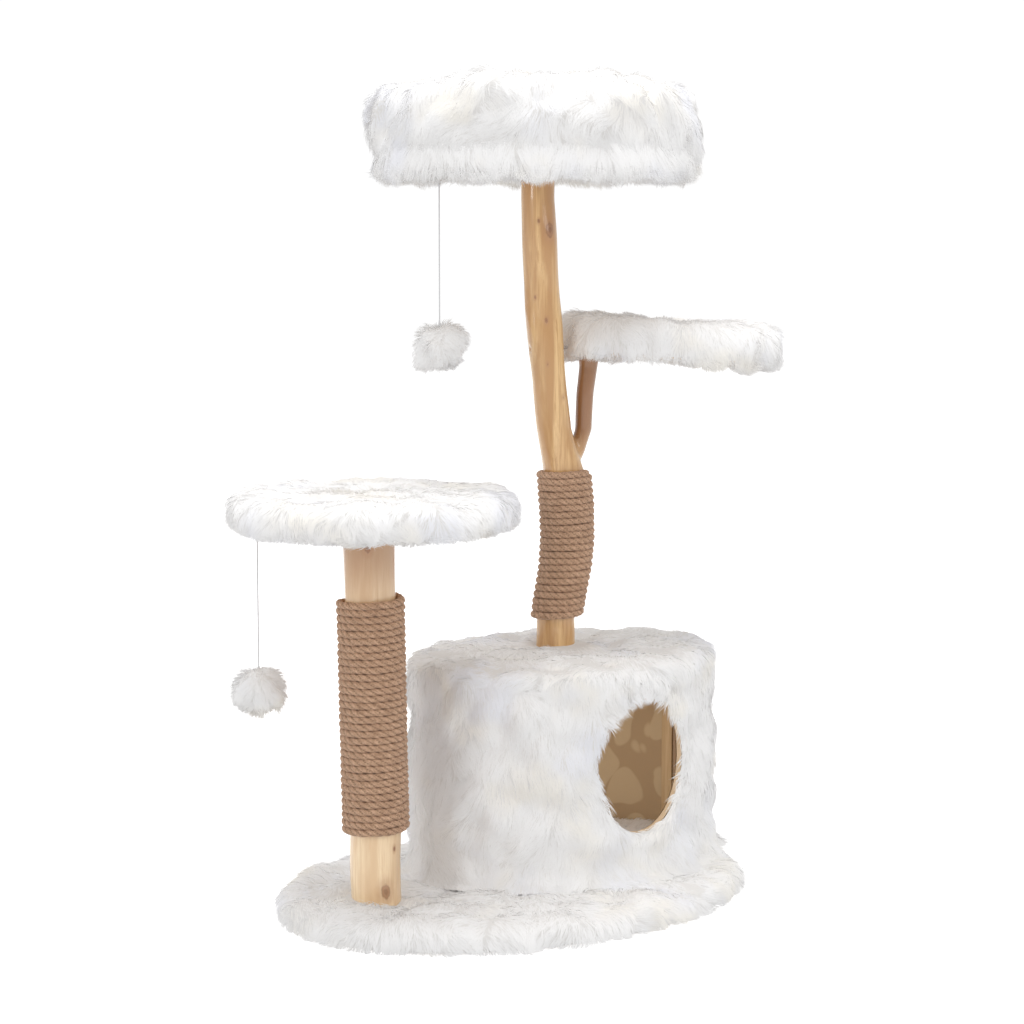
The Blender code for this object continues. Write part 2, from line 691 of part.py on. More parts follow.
def make_mid_perch(trunk):
    """The perch is made about its branch and then droops about the branch's head."""
    heads = (BRANCH_HEAD_X, BRANCH_HEAD_Y)
    before = set(bpy.data.objects)
    beside = trunk_ring(MID_PERCH_HEIGHT - HEM)
    edge = beside[0] + beside[3] + MID_PERCH_TRUNK_GAP + FUR
    place = (edge + MID_PERCH_RADIUS, BRANCH_HEAD_Y)
    board, cover = perch("mid_perch", place, MID_PERCH_SEAT, MID_PERCH_RADIUS, MID_PERCH_PAD)
    board_top = MID_PERCH_SEAT + FIT_GAP + BOARD
    bolt_down("mid_perch", heads, board_top, BOARD, (board, trunk))
    height = 3 * BRANCH_OVER
    top_size = (4 * BRANCH_HEAD_RADIUS, 4 * BRANCH_HEAD_RADIUS, height)
    top_cut = block("branch_top_cutter", top_size, (*heads, MID_PERCH_SEAT + height / 2))
    boolean(trunk, top_cut)
    pocket = BRANCH_HEAD_RADIUS + ROPE_GAP
    pocket_middle = (*heads, MID_PERCH_SEAT + FIT_GAP - 2 * HEM)
    drill((cover,), "branch_pocket", pocket, 4 * HEM, pocket_middle, sides=POST_SIDES)
    pivot = bpy.data.objects.new("mid_perch_pivot", None)
    PIECES.objects.link(pivot)
    pivot.location = (*heads, MID_PERCH_SEAT)
    for obj in set(bpy.data.objects) - before - {pivot}:
        obj.parent = pivot
        obj.matrix_parent_inverse = Matrix.Translation(pivot.location).inverted()
    pivot.rotation_euler = (0, MID_PERCH_DROOP, 0)
    screw_perch_to_trunk(trunk, board, cover, edge)


def screw_perch_to_trunk(trunk, board, cover, edge):
    """A long screw through the trunk into the board's edge, clear of the bolt into the branch."""
    beside = trunk_ring(MID_PERCH_HEIGHT + FIT_GAP + BOARD / 2)
    head_depth = beside[3] - EDGE_SCREW_HEAD_RADIUS
    head_seat = Vector((beside[0] - head_depth, BRANCH_HEAD_Y + EDGE_SCREW_OFFSET, beside[2]))
    grip = edge + EDGE_SCREW_BITE - head_seat.x
    towards_trunk = pointing((-1, 0, 0))
    radius, head_radius = EDGE_SCREW_RADIUS, EDGE_SCREW_HEAD_RADIUS
    bolt("mid_perch_edge_screw", head_seat, radius, head_radius, SCREW_HEAD, grip, towards_trunk)
    hole = radius + FIT_GAP
    drill((trunk, board, cover), "edge_screw_hole", hole, 2 * (grip + FIT_GAP), head_seat, towards_trunk)
    recess = head_seat - Vector((head_depth / 2 - FIT_GAP, 0, 0))
    drill((trunk,), "edge_screw_recess", head_radius + FIT_GAP, head_depth, recess, towards_trunk)


def make_bed(trunk):
    """A round board with a fur skirt round its edge, a stuffed ring on it and a cushion in the ring."""
    trunk_top = trunk_ring(TALL_POST_LENGTH)[:2]
    place = (trunk_top[0] + BED_OFFSET[0], trunk_top[1] + BED_OFFSET[1])
    board_bottom = BED_SEAT + FIT_GAP
    board_top = board_bottom + BOARD
    radius = BED_BOARD_RADIUS
    board = oval_block("bed_board", place, radius, radius, board_bottom, board_top, PLYWOOD, ROUND_SIDES)
    inner, outer = radius + FIT_GAP, radius + BED_SKIRT
    bottom, hem = BED_SEAT - FUR, radius - BED_HEM_WIDTH
    skirt = (
        (outer, board_top),
        (outer, bottom + 0.5 * FUR),
        (outer - 0.5 * FUR, bottom),
        (hem, bottom),
        (hem, BED_SEAT),
        (inner, BED_SEAT),
        (inner, board_top),
    )
    turned("bed_cover", skirt, (*place, 0), FUR_CLOTH, ring=True)
    floor = board_top + FIT_GAP
    middle = (BED_BOLSTER_INNER + BED_BOLSTER_OUTER) / 2
    half_width = (BED_BOLSTER_OUTER - BED_BOLSTER_INNER) / 2
    half_height = BED_BOLSTER_HEIGHT / 2
    section = []
    for i in range(BOLSTER_SIDES):
        turn = math.pi / 2 - 2 * math.pi * (i + 0.5) / BOLSTER_SIDES
        across, up = math.cos(turn), math.sin(turn)
        fatten = (across**4 + up**4) ** -0.25
        section.append((middle + half_width * fatten * across, half_height * (1 + fatten * up)))
    lowest = min(z for _, z in section)
    tallest = max(z for _, z in section)
    stretch = BED_BOLSTER_HEIGHT / (tallest - lowest)
    section = [(r, (z - lowest) * stretch) for r, z in section]
    turned("bed_bolster", section, (*place, floor), FUR_CLOTH, ring=True)
    cushion_radius = BED_BOLSTER_INNER - 0.001
    cushion = (
        (0, BED_CUSHION),
        (cushion_radius * 0.6, BED_CUSHION * 0.9),
        (cushion_radius, BED_CUSHION * 0.55),
        (cushion_radius, BED_CUSHION * 0.25),
        (cushion_radius * 0.85, 0),
        (0, 0),
    )
    turned("bed_cushion", cushion, (*place, floor), FUR_CLOTH)
    make_bed_bolt(trunk_top, board_top, board, trunk)
    return board, place


def make_bed_bolt(place, board_top, board, trunk):
    """A bolt with a washer, both let into the board's top."""
    x, y = place
    seat = board_top - BOLT_HEAD - WASHER - 3 * FIT_GAP
    washer("bed_washer", (x, y, seat))
    head_seat = seat + WASHER + FIT_GAP
    grip = BOARD + BOLT_GRIP
    bolt("bed_bolt", (x, y, head_seat), BOLT_RADIUS, BOLT_HEAD_RADIUS, BOLT_HEAD, grip)
    hole = BOLT_RADIUS + FIT_GAP
    drill((board, trunk), "bed_bolt_hole", hole, 2 * (grip + FIT_GAP), (x, y, head_seat))
    recess = WASHER_RADIUS + FIT_GAP
    depth = 2 * (board_top - seat + FIT_GAP)
    drill((board,), "bed_washer_recess", recess, depth, (x, y, board_top), sides=2 * SMALL_SIDES)


def wire_ring(name, centre, radius, wire, rotation, material):
    bm = bmesh.new()
    first = bmesh.ops.create_circle(bm, segments=WIRE_SIDES, radius=wire)["verts"]
    bmesh.ops.rotate(bm, verts=first, matrix=Matrix.Rotation(math.pi / 2, 3, "X"))
    bmesh.ops.translate(bm, verts=first, vec=(radius, 0, 0))
    bmesh.ops.spin(
        bm,
        geom=bm.edges[:],
        cent=(0, 0, 0),
        axis=(0, 0, 1),
        angle=2 * math.pi,
        steps=RING_SIDES,
        use_merge=True,
    )
    bmesh.ops.recalc_face_normals(bm, faces=bm.faces)
    obj = add_piece(name, mesh_from(bm, name), material)
    obj.location = centre
    obj.rotation_euler = rotation
    return obj


def make_toy(name, middle, reach, turn, seat, drop, board, post):
    """A screw eye under a board, a wire loop through it, and a string with a fur pom-pom.

    The eye stands across the way to the nearest post, so the loop swings to and from that post in it,
    and the string swings past the post in the loop.
    """
    x, y = middle[0] + reach * math.cos(turn), middle[1] + reach * math.sin(turn)
    to_post = math.atan2(post[1] - y, post[0] - x)
    across, along = (math.pi / 2, 0, to_post + math.pi / 2), (math.pi / 2, 0, to_post)
    eye_centre = seat - FIT_GAP - EYE_RADIUS - EYE_WIRE
    eye = wire_ring(f"{name}_eye", (x, y, eye_centre), EYE_RADIUS, EYE_WIRE, across, STEEL)
    shank_bottom = eye_centre + EYE_RADIUS
    shank_length = seat + EYE_SHANK - shank_bottom
    shank_middle = (x, y, shank_bottom + shank_length / 2)
    shank = cylinder(f"{name}_eye_shank", EYE_WIRE * 0.9, shank_length, shank_middle)
    boolean(eye, shank, "UNION")
    hole = EYE_WIRE + FIT_GAP
    drill((board,), f"{name}_eye_hole", hole, 2 * (EYE_SHANK + FIT_GAP), (x, y, seat))
    eye_bottom = eye_centre - EYE_RADIUS
    loop_centre = eye_bottom + EYE_WIRE + LOOP_WIRE + LINK_GAP - LOOP_RADIUS
    wire_ring(f"{name}_loop", (x, y, loop_centre), LOOP_RADIUS, LOOP_WIRE, along, STEEL)
    string_top = loop_centre - LOOP_RADIUS - LOOP_WIRE - FIT_GAP
    pompom_centre = seat - drop
    string_bottom = pompom_centre + POMPOM_RADIUS + FIT_GAP
    make_string(f"{name}_string", (x, y), string_top, string_bottom)
    bm = bmesh.new()
    rows = POMPOM_SIDES // 2
    bmesh.ops.create_uvsphere(bm, u_segments=POMPOM_SIDES, v_segments=rows, radius=POMPOM_RADIUS)
    pompom = add_piece(f"{name}_pompom", mesh_from(bm, f"{name}_pompom"), FUR_CLOTH)
    pompom.location = (x, y, pompom_centre)


def make_string(name, place, top, bottom):
    """A cord that its pom-pom pulls straight."""
    count = math.ceil((top - bottom) / STRING_STEP)
    curve = bpy.data.curves.new(name, "CURVE")
    curve.dimensions = "3D"
    curve.bevel_depth = STRING_RADIUS
    curve.bevel_resolution = 2
    curve.use_fill_caps = True
    spline = curve.splines.new("POLY")
    spline.points.add(count)
    for index, point in enumerate(spline.points):
        point.co = (*place, top + (bottom - top) * index / count, 1)
    curve.materials.append(STRING)
    PIECES.objects.link(bpy.data.objects.new(name, curve))


clear_scene()
PIECES = new_collection("cat_tree")
CUTTERS = new_collection("cutters")
FUR_CLOTH = new_material("fur", (0.86, 0.85, 0.83), 0.95)
FELT = new_material("felt", (0.40, 0.31, 0.18), 0.95)
FOAM = new_material("foam", (0.75, 0.72, 0.62), 0.90)
PLYWOOD = new_material("plywood", (0.50, 0.36, 0.22), 0.75)
PINE = new_material("pine", (0.80, 0.55, 0.28), 0.35)
HONEY_WOOD = new_material("honey_wood", (0.72, 0.42, 0.13), 0.38)
SISAL = new_material("sisal", (0.38, 0.23, 0.15), 0.90)
STEEL = new_material("steel", (0.60, 0.60, 0.62), 0.35, 1.0)
STRING = new_material("string", (0.80, 0.80, 0.80), 0.70)

base_board, base_cover = make_base()
roof, roof_cover = make_condo(base_board, base_cover)
short_post = make_short_post(base_board, base_cover)
lower_perch_board = make_lower_perch(short_post)
tall_post = make_tall_post(roof, roof_cover)
make_mid_perch(tall_post)
bed_board, bed_place = make_bed(tall_post)
make_toy(
    "lower_toy",
    LOWER_PERCH_PLACE,
    LOWER_PERCH_RADIUS - LOWER_TOY_INSET,
    LOWER_TOY_TURN,
    LOWER_PERCH_SEAT,
    LOWER_TOY_DROP,
    lower_perch_board,
    LOWER_PERCH_PLACE,
)
make_toy(
    "upper_toy",
    bed_place,
    BED_BOARD_RADIUS - UPPER_TOY_INSET,
    UPPER_TOY_TURN,
    BED_SEAT,
    UPPER_TOY_DROP,
    bed_board,
    trunk_ring(TALL_POST_LENGTH - UPPER_TOY_DROP),
)
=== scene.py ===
"""A cat tree of long white fur, natural wood and sisal rope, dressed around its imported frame.

Metres, +Z up. +X runs along the base towards the condo, and the condo's doorway faces -Y. Fur is made of
single strands that are rooted in a cloth, gathered in locks, and combed the way the real pile lies.
"""

from __future__ import annotations

import logging
import math
from collections.abc import Callable, Sequence
from dataclasses import dataclass, field
from enum import Enum

import bmesh
import bpy
import numpy as np
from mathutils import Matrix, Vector
from mathutils.kdtree import KDTree

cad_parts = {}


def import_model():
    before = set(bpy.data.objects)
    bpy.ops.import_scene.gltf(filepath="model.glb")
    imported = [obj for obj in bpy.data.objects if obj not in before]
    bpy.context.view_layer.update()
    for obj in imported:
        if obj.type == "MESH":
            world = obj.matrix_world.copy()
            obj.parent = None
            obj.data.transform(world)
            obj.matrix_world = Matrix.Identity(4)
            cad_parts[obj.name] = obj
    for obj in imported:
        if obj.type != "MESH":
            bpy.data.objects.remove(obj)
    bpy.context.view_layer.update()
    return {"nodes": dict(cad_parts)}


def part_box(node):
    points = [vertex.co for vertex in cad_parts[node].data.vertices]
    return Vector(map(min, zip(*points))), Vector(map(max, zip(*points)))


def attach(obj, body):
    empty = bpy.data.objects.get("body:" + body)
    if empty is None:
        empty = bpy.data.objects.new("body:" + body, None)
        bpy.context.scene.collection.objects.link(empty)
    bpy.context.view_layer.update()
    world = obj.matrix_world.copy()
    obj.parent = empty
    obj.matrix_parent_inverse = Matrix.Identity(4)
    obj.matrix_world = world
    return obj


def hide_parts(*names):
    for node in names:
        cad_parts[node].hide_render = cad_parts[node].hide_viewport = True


LOG = logging.getLogger("cat_tree")
WELD = 0.00002
FULL_TURN = 2 * math.pi
VIEW_TURN = math.radians(-121.7)  # the side of a post that faces the viewer
BARE_REACH = 0.024  # how far round a screw eye the fur is trimmed

Array = np.ndarray
Place = Callable[[Array, Array], Array]
Test = Callable[[Array, Array], Array]


class Body(Enum):
    """The bodies that pieces ride on."""

    FRAME = "frame"
    LOWER_LOOP = "lower_loop"
    LOWER_TOY = "lower_toy"
    UPPER_LOOP = "upper_loop"
    UPPER_TOY = "upper_toy"


class Lay(Enum):
    """How a pile is combed."""

    DOWN = "down"
    OUTWARD = "outward"
    BALL = "ball"


# ---------------------------------------------------------------- shared tools


@dataclass(frozen=True)
class Waves:
    """A smooth random field, a sum of plane waves of about one wavelength, with a spread of 1."""

    seed: int
    wavelength: float
    count: int = 28

    def __call__(self, points: Array) -> Array:
        """The field's value at each point.

        Args:
            points: the points, one to a row.

        Returns:
            One value for each point, seldom beyond 2 or -2.
        """
        rng = np.random.default_rng(self.seed)
        ways = rng.normal(size=(self.count, 3))
        ways /= np.linalg.norm(ways, axis=1, keepdims=True)
        ways *= FULL_TURN / self.wavelength * rng.uniform(0.6, 1.5, (self.count, 1))
        phases = rng.uniform(0, FULL_TURN, self.count)
        total = np.cos(points @ ways.T + phases).sum(axis=1)
        return np.clip(total * math.sqrt(2 / self.count), -2.2, 2.2)


def unit(vectors: Array) -> Array:
    """The vectors, each made one long."""
    return vectors / np.maximum(np.linalg.norm(vectors, axis=-1, keepdims=True), 1e-9)


def node_points(name: str) -> Array:
    """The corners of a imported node, one to a row.

    Args:
        name: the node.

    Returns:
        The points, each given once.
    """
    mesh = bpy.data.objects[name].data
    points = np.empty(len(mesh.vertices) * 3, np.float32)
    mesh.vertices.foreach_get("co", points)
    return np.unique(points.reshape(-1, 3).astype(float).round(6), axis=0)


def middle_of(name: str) -> Vector:
    """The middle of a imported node's box."""
    low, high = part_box(name)
    return (low + high) / 2


def grid_surface(columns: int, rows: int, place: Place) -> bmesh.types.BMesh:
    """A grid whose corners are put in place by a function, with its seams and poles closed.

    Args:
        columns: faces along the first direction.
        rows: faces along the second direction.
        place: gives the points for both directions' shares, from 0 to 1.

    Returns:
        The surface, which faces the way that the first direction turned to the second one gives.
    """
    bm = bmesh.new()
    bmesh.ops.create_grid(bm, x_segments=columns, y_segments=rows, size=0.5)
    flat = np.array([vert.co[:2] for vert in bm.verts], float) + 0.5
    for vert, point in zip(bm.verts, place(flat[:, 0], flat[:, 1])):
        vert.co = point
    bmesh.ops.remove_doubles(bm, verts=bm.verts, dist=WELD)
    bmesh.ops.dissolve_degenerate(bm, edges=bm.edges, dist=WELD)
    bm.normal_update()
    return bm


def displace(bm: bmesh.types.BMesh, heights: Callable[[Array], Array]) -> None:
    """Moves a surface's corners along its normals.

    Args:
        bm: the surface.
        heights: gives how far each point moves, for the points of all the corners.
    """
    bm.normal_update()
    points = np.array([vert.co for vert in bm.verts], float)
    for vert, height in zip(bm.verts, heights(points)):
        vert.co += vert.normal * float(height)
    bm.normal_update()


def add_piece(
    name: str, bm: bmesh.types.BMesh, material: bpy.types.Material, body: Body
) -> bpy.types.Object:
    """Makes a piece from a finished shape, which is used up.

    Args:
        name: the piece's name.
        bm: its shape, in place.
        material: its finish.
        body: the body that it rides on.

    Returns:
        The piece.
    """
    mesh = bpy.data.meshes.new(name)
    bm.to_mesh(mesh)
    bm.free()
    mesh.shade_smooth()
    mesh.materials.append(material)
    return enrol(bpy.data.objects.new(name, mesh), body)


def enrol(piece: bpy.types.Object, body: Body) -> bpy.types.Object:
    """Links a piece, and sets the body that it rides on.

    Args:
        piece: the piece.
        body: the body that it rides on.

    Returns:
        The same piece.
    """
    bpy.context.scene.collection.objects.link(piece)
    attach(piece, body.value)
    LOG.info("%s: %d faces", piece.name, len(piece.data.polygons))
    return piece


def rounded(points: Sequence[tuple[float, float]], step: float) -> Array:
    """A profile with its corners rounded, in even steps.

    Args:
        points: the corners as (outward, up).
        step: the distance between the points given back.

    Returns:
        The points of the profile.
    """
    line = np.array(points, float)
    for _ in range(3):
        near, far = line[:-1] * 0.75 + line[1:] * 0.25, line[:-1] * 0.25 + line[1:] * 0.75
        cut = np.stack([near, far], axis=1).reshape(-1, 2)
        line = np.vstack([line[:1], cut[1:-1], line[-1:]])
    runs = np.concatenate([[0], np.cumsum(np.linalg.norm(np.diff(line, axis=0), axis=1))])
    at = np.linspace(0, runs[-1], max(3, round(runs[-1] / step)))
    return np.stack([np.interp(at, runs, line[:, 0]), np.interp(at, runs, line[:, 1])], axis=1)


@dataclass
class OvalSkin:
    """A cloth over an oval or round body: a profile carried round it, and a flat cap on top if asked for."""

    centre: tuple[float, float]
    half_x: float
    half_y: float
    profile: Array  # (outward from the oval, height), from the bottom upwards
    cap: bool = True
    step: float = 0.006

    def surface(self) -> bmesh.types.BMesh:
        """The cloth's surface, facing out.

        Returns:
            The surface.
        """
        outs, heights = self.profile[:, 0], self.profile[:, 1]
        scales = np.ones(len(outs))
        if self.cap:
            count = max(4, round(min(self.half_x, self.half_y) / self.step))
            scales = np.concatenate([scales, np.linspace(1, 0, count + 1)[1:]])
            outs = np.concatenate([outs, np.full(count, outs[-1])])
            heights = np.concatenate([heights, np.full(count, heights[-1])])
        rows = len(outs) - 1
        index = np.arange(rows + 1) / rows

        def place(around: Array, along: Array) -> Array:
            """Places the cloth's corners.

            Args:
                around: the share of the way round.
                along: the share of the way along.

            Returns:
                One point to a row.
            """
            turn = FULL_TURN * around
            scale = np.interp(along, index, scales)
            out = np.interp(along, index, outs)
            x = self.centre[0] + (self.half_x + out) * scale * np.cos(turn)
            y = self.centre[1] + (self.half_y + out) * scale * np.sin(turn)
            return np.stack([x, y, np.interp(along, index, heights)], axis=1)

        columns = round(math.pi * (self.half_x + self.half_y) / self.step)
        return grid_surface(columns, rows, place)


# ---------------------------------------------------------------- finishes


class Bench:
    """Where one material's nodes are put together."""

    def __init__(self, name: str) -> None:
        """Starts a material that has only its shader.

        Args:
            name: the material's name.
        """
        self.material = bpy.data.materials.new(name)
        self.material.use_nodes = True
        self.tree = self.material.node_tree
        self.shader = self.tree.nodes["Principled BSDF"]

    def set(self, **values: float | tuple) -> None:
        """Sets the shader's own sockets, named with underscores for spaces."""
        for name, value in values.items():
            self.shader.inputs[name.replace("_", " ")].default_value = value

    def add(self, kind: str, sockets: dict | None = None, **settings: object) -> bpy.types.Node:
        """Adds a node.

        Args:
            kind: the node's type.
            sockets: values or other nodes' outputs for its inputs, by name or number.
            settings: its properties.

        Returns:
            The node.
        """
        node = self.tree.nodes.new(kind)
        for key, value in settings.items():
            setattr(node, key, value)
        for key, value in (sockets or {}).items():
            self.feed(node.inputs[key], value)
        return node

    def feed(self, socket: bpy.types.NodeSocket, value: object) -> None:
        """Links an output to a socket, or sets the socket's value.

        Args:
            socket: the input.
            value: another node's output, or a plain value.
        """
        if isinstance(value, bpy.types.NodeSocket):
            self.tree.links.new(value, socket)
        else:
            socket.default_value = value

    def place(
        self, scale: tuple[float, float, float] = (1, 1, 1), shift: Sequence[float] = (0, 0, 0)
    ) -> bpy.types.NodeSocket:
        """Object coordinates, moved and then stretched.

        Args:
            scale: the stretch along each axis.
            shift: the point that becomes the origin.

        Returns:
            The coordinates.
        """
        source = self.add("ShaderNodeTexCoord").outputs["Object"]
        moved = self.add("ShaderNodeVectorMath", {0: source, 1: tuple(shift)}, operation="SUBTRACT")
        sized = self.add("ShaderNodeVectorMath", {0: moved.outputs[0], 1: scale}, operation="MULTIPLY")
        return sized.outputs[0]

    def noise(
        self, vector: object, scale: float, detail: float = 2.0, rough: float = 0.5, warp: float = 0.0
    ) -> bpy.types.NodeSocket:
        """A noise texture's value."""
        sockets = {"Vector": vector, "Scale": scale, "Detail": detail, "Roughness": rough, "Distortion": warp}
        return self.add("ShaderNodeTexNoise", sockets).outputs["Fac"]

    def spread(
        self, value: object, low: float, high: float, to_low: float = 0.0, to_high: float = 1.0
    ) -> bpy.types.NodeSocket:
        """A value moved smoothly from one range to another, and kept inside it."""
        sockets = {"Value": value, "From Min": low, "From Max": high, "To Min": to_low, "To Max": to_high}
        return self.add("ShaderNodeMapRange", sockets, interpolation_type="SMOOTHSTEP").outputs["Result"]

    def mix(self, share: object, first: object, second: object, blend: str = "MIX") -> bpy.types.NodeSocket:
        """Two colours mixed.

        Args:
            share: how much of the second colour there is.
            first: the first colour.
            second: the second colour.
            blend: how they are mixed.

        Returns:
            The mixed colour.
        """
        node = self.add("ShaderNodeMix", data_type="RGBA", blend_type=blend)
        self.feed(node.inputs["Factor"], share)
        self.feed(node.inputs["A"], colour(first))
        self.feed(node.inputs["B"], colour(second))
        return node.outputs["Result"]

    def sum(self, operation: str, first: object, second: object) -> bpy.types.NodeSocket:
        """Two values joined by a math operation."""
        return self.add("ShaderNodeMath", {0: first, 1: second}, operation=operation).outputs[0]

    def bump(self, height: object, strength: float, distance: float) -> None:
        """Gives the shader a bump."""
        node = self.add("ShaderNodeBump", {"Height": height, "Strength": strength, "Distance": distance})
        self.feed(self.shader.inputs["Normal"], node.outputs["Normal"])

    def paint(self, value: object) -> bpy.types.Material:
        """Gives the shader its colour, and hands the material over."""
        self.feed(self.shader.inputs["Base Color"], colour(value))
        return self.material


def colour(value: object) -> object:
    """A colour with its alpha, where it is given as three numbers."""
    return (*value, 1.0) if isinstance(value, tuple) and len(value) == 3 else value


@dataclass(frozen=True)
class Fur:
    """Long white pile, with ivory and cool patches, and painted shade that darkens the strands towards their
    roots.
    """

    name: str = "white_fur"
    white: tuple = (0.82, 0.815, 0.815)
    ivory: tuple = (0.82, 0.795, 0.75)
    cool: tuple = (0.765, 0.77, 0.81)
    # painted shade: the strands' colour at their roots, darker where the pile would shade itself
    root: tuple = (0.76, 0.75, 0.745)
    patch: float = 11.0

    def make(self) -> bpy.types.Material:
        """The material; a strand's attribute "along" runs from 0 at its root to 1 at its tip.

        Returns:
            The material.
        """
        bench = Bench(self.name)
        where = bench.place()
        warm = bench.spread(bench.noise(where, self.patch, 2.0), 0.50, 0.68)
        cold = bench.spread(bench.noise(bench.place(shift=(3, 5, 7)), self.patch * 0.8, 2.0), 0.50, 0.70)
        tone = bench.mix(cold, bench.mix(warm, self.white, self.ivory), self.cool)
        along = bench.add("ShaderNodeAttribute", attribute_name="along").outputs["Fac"]
        bench.set(Roughness=0.75, Sheen_Weight=0.25, Sheen_Roughness=0.5, Specular_IOR_Level=0.25)
        # painted shade: each strand darkens from its tip towards its root
        return bench.paint(bench.mix(bench.spread(along, 0.0, 0.6), self.root, tone))


@dataclass(frozen=True)
class Cloth:
    """A knitted or felted cloth of one colour, with a fine fibre relief."""

    name: str
    light: tuple
    dark: tuple
    grain: float = 900.0

    def make(self) -> bpy.types.Material:
        """The material.

        Returns:
            The material.
        """
        bench = Bench(self.name)
        where = bench.place()
        fibre = bench.noise(where, self.grain, 4.0, 0.7)
        cloud = bench.noise(where, 18.0, 3.0)
        bench.bump(fibre, 0.35, 0.001)
        bench.set(Roughness=0.95, Sheen_Weight=0.15, Specular_IOR_Level=0.15)
        return bench.paint(bench.mix(bench.sum("MULTIPLY", fibre, cloud), self.dark, self.light))


@dataclass(frozen=True)
class LeafFelt:
    """Khaki felt with a print of large lighter leaves with soft edges."""

    name: str = "leaf_felt"
    ground: tuple = (0.42, 0.285, 0.165)
    leaf: tuple = (0.54, 0.395, 0.24)
    size: float = 29.0

    def make(self) -> bpy.types.Material:
        """The material.

        Returns:
            The material.
        """
        bench = Bench(self.name)
        where = bench.place((1.0, 1.0, 0.62))
        wander = bench.add("ShaderNodeTexNoise", {"Vector": where, "Scale": 14.0, "Detail": 1.0})
        moved = bench.mix(0.035, where, wander.outputs["Color"], "LINEAR_LIGHT")
        cells = bench.add("ShaderNodeTexVoronoi", {"Vector": moved, "Scale": self.size, "Randomness": 0.85})
        leaf = bench.spread(cells.outputs["Distance"], 0.56, 0.48)
        fibre = bench.noise(bench.place(), 1100.0, 3.0, 0.7)
        bench.bump(fibre, 0.3, 0.0008)
        bench.set(Roughness=0.95, Sheen_Weight=0.2, Specular_IOR_Level=0.1)
        tone = bench.mix(leaf, self.ground, self.leaf)
        return bench.paint(bench.mix(bench.spread(fibre, 0.3, 0.7, 0.0, 0.25), tone, self.ground))


@dataclass(frozen=True)
class Knot:
    """A knot in a post: its height, its turn about the post from the viewer's side, and its half height."""

    height: float
    turn: float
    size: float
    dark: float = 0.8


@dataclass(frozen=True)
class ToneBand:
    """A stretch of a post in another tone: the tone comes in along an axis, and above a height."""

    axis: str
    start: float
    end: float
    strength: float
    tone: tuple
    above: float = -1.0


@dataclass(frozen=True)
class Timber:
    """Peeled, lacquered natural wood, with grain along the post, streaks and knots."""

    name: str
    light: tuple
    dark: tuple
    knot: tuple = (0.22, 0.09, 0.035)
    streak: tuple = (0.46, 0.23, 0.11)
    gloss: float = 0.6
    bands: tuple[ToneBand, ...] = ()

    def make(self, knots: Sequence[tuple[Vector, Knot]] = ()) -> bpy.types.Material:
        """The material.

        Args:
            knots: each knot with its place on the surface.

        Returns:
            The material.
        """
        bench = Bench(self.name)
        grain = bench.noise(bench.place((1, 1, 0.045)), 330.0, 5.0, 0.62, 0.6)
        broad = bench.noise(bench.place((1, 1, 0.10)), 46.0, 3.0, 0.5, 1.1)
        fine = bench.noise(bench.place((1, 1, 0.03)), 1300.0, 2.0)
        blush = bench.spread(bench.noise(bench.place((1, 1, 0.25)), 24.0, 2.0, 0.5, 0.5), 0.52, 0.72)
        tone = bench.mix(bench.spread(broad, 0.32, 0.68), self.light, self.dark)
        tone = bench.mix(bench.spread(grain, 0.44, 0.66, 0.0, 0.75), tone, self.dark)
        tone = bench.mix(bench.spread(fine, 0.50, 0.72, 0.0, 0.35), tone, self.dark)
        tone = bench.mix(bench.sum("MULTIPLY", blush, 0.30), tone, self.streak)
        relief = bench.sum("ADD", bench.sum("MULTIPLY", grain, 0.7), bench.sum("MULTIPLY", fine, 0.3))
        split = bench.add("ShaderNodeSeparateXYZ", {0: bench.place()}).outputs
        for band in self.bands:
            share = bench.spread(split[band.axis], band.start, band.end, 0.0, band.strength)
            upper = bench.spread(split["Z"], band.above, band.above + 0.06)
            tone = bench.mix(bench.sum("MULTIPLY", share, upper), tone, band.tone)
        for place, knot in knots:
            near = bench.place((1 / knot.size, 1 / knot.size, 0.62 / knot.size), place)
            wobble = bench.noise(near, 1.6, 2.0)
            length = bench.add("ShaderNodeVectorMath", {0: near}, operation="LENGTH").outputs["Value"]
            reach = bench.sum("ADD", length, bench.sum("MULTIPLY", wobble, 0.5))
            halo = bench.spread(reach, 2.3, 1.0, 0.0, 0.55 * knot.dark)
            rings = bench.add("ShaderNodeMath", {0: bench.sum("MULTIPLY", reach, 11.0)}, operation="SINE")
            core = bench.spread(reach, 1.12, 0.80, 0.0, knot.dark)
            ringed = bench.mix(bench.spread(rings.outputs[0], -1.0, 1.0, 0.0, 0.5), self.knot, self.streak)
            tone = bench.mix(core, bench.mix(halo, tone, self.streak), ringed)
            relief = bench.sum("ADD", relief, bench.sum("MULTIPLY", core, 1.2))
        bench.bump(relief, 0.22, 0.0012)
        bench.set(Roughness=0.42, Coat_Weight=self.gloss, Coat_Roughness=0.12, Specular_IOR_Level=0.4)
        return bench.paint(tone)


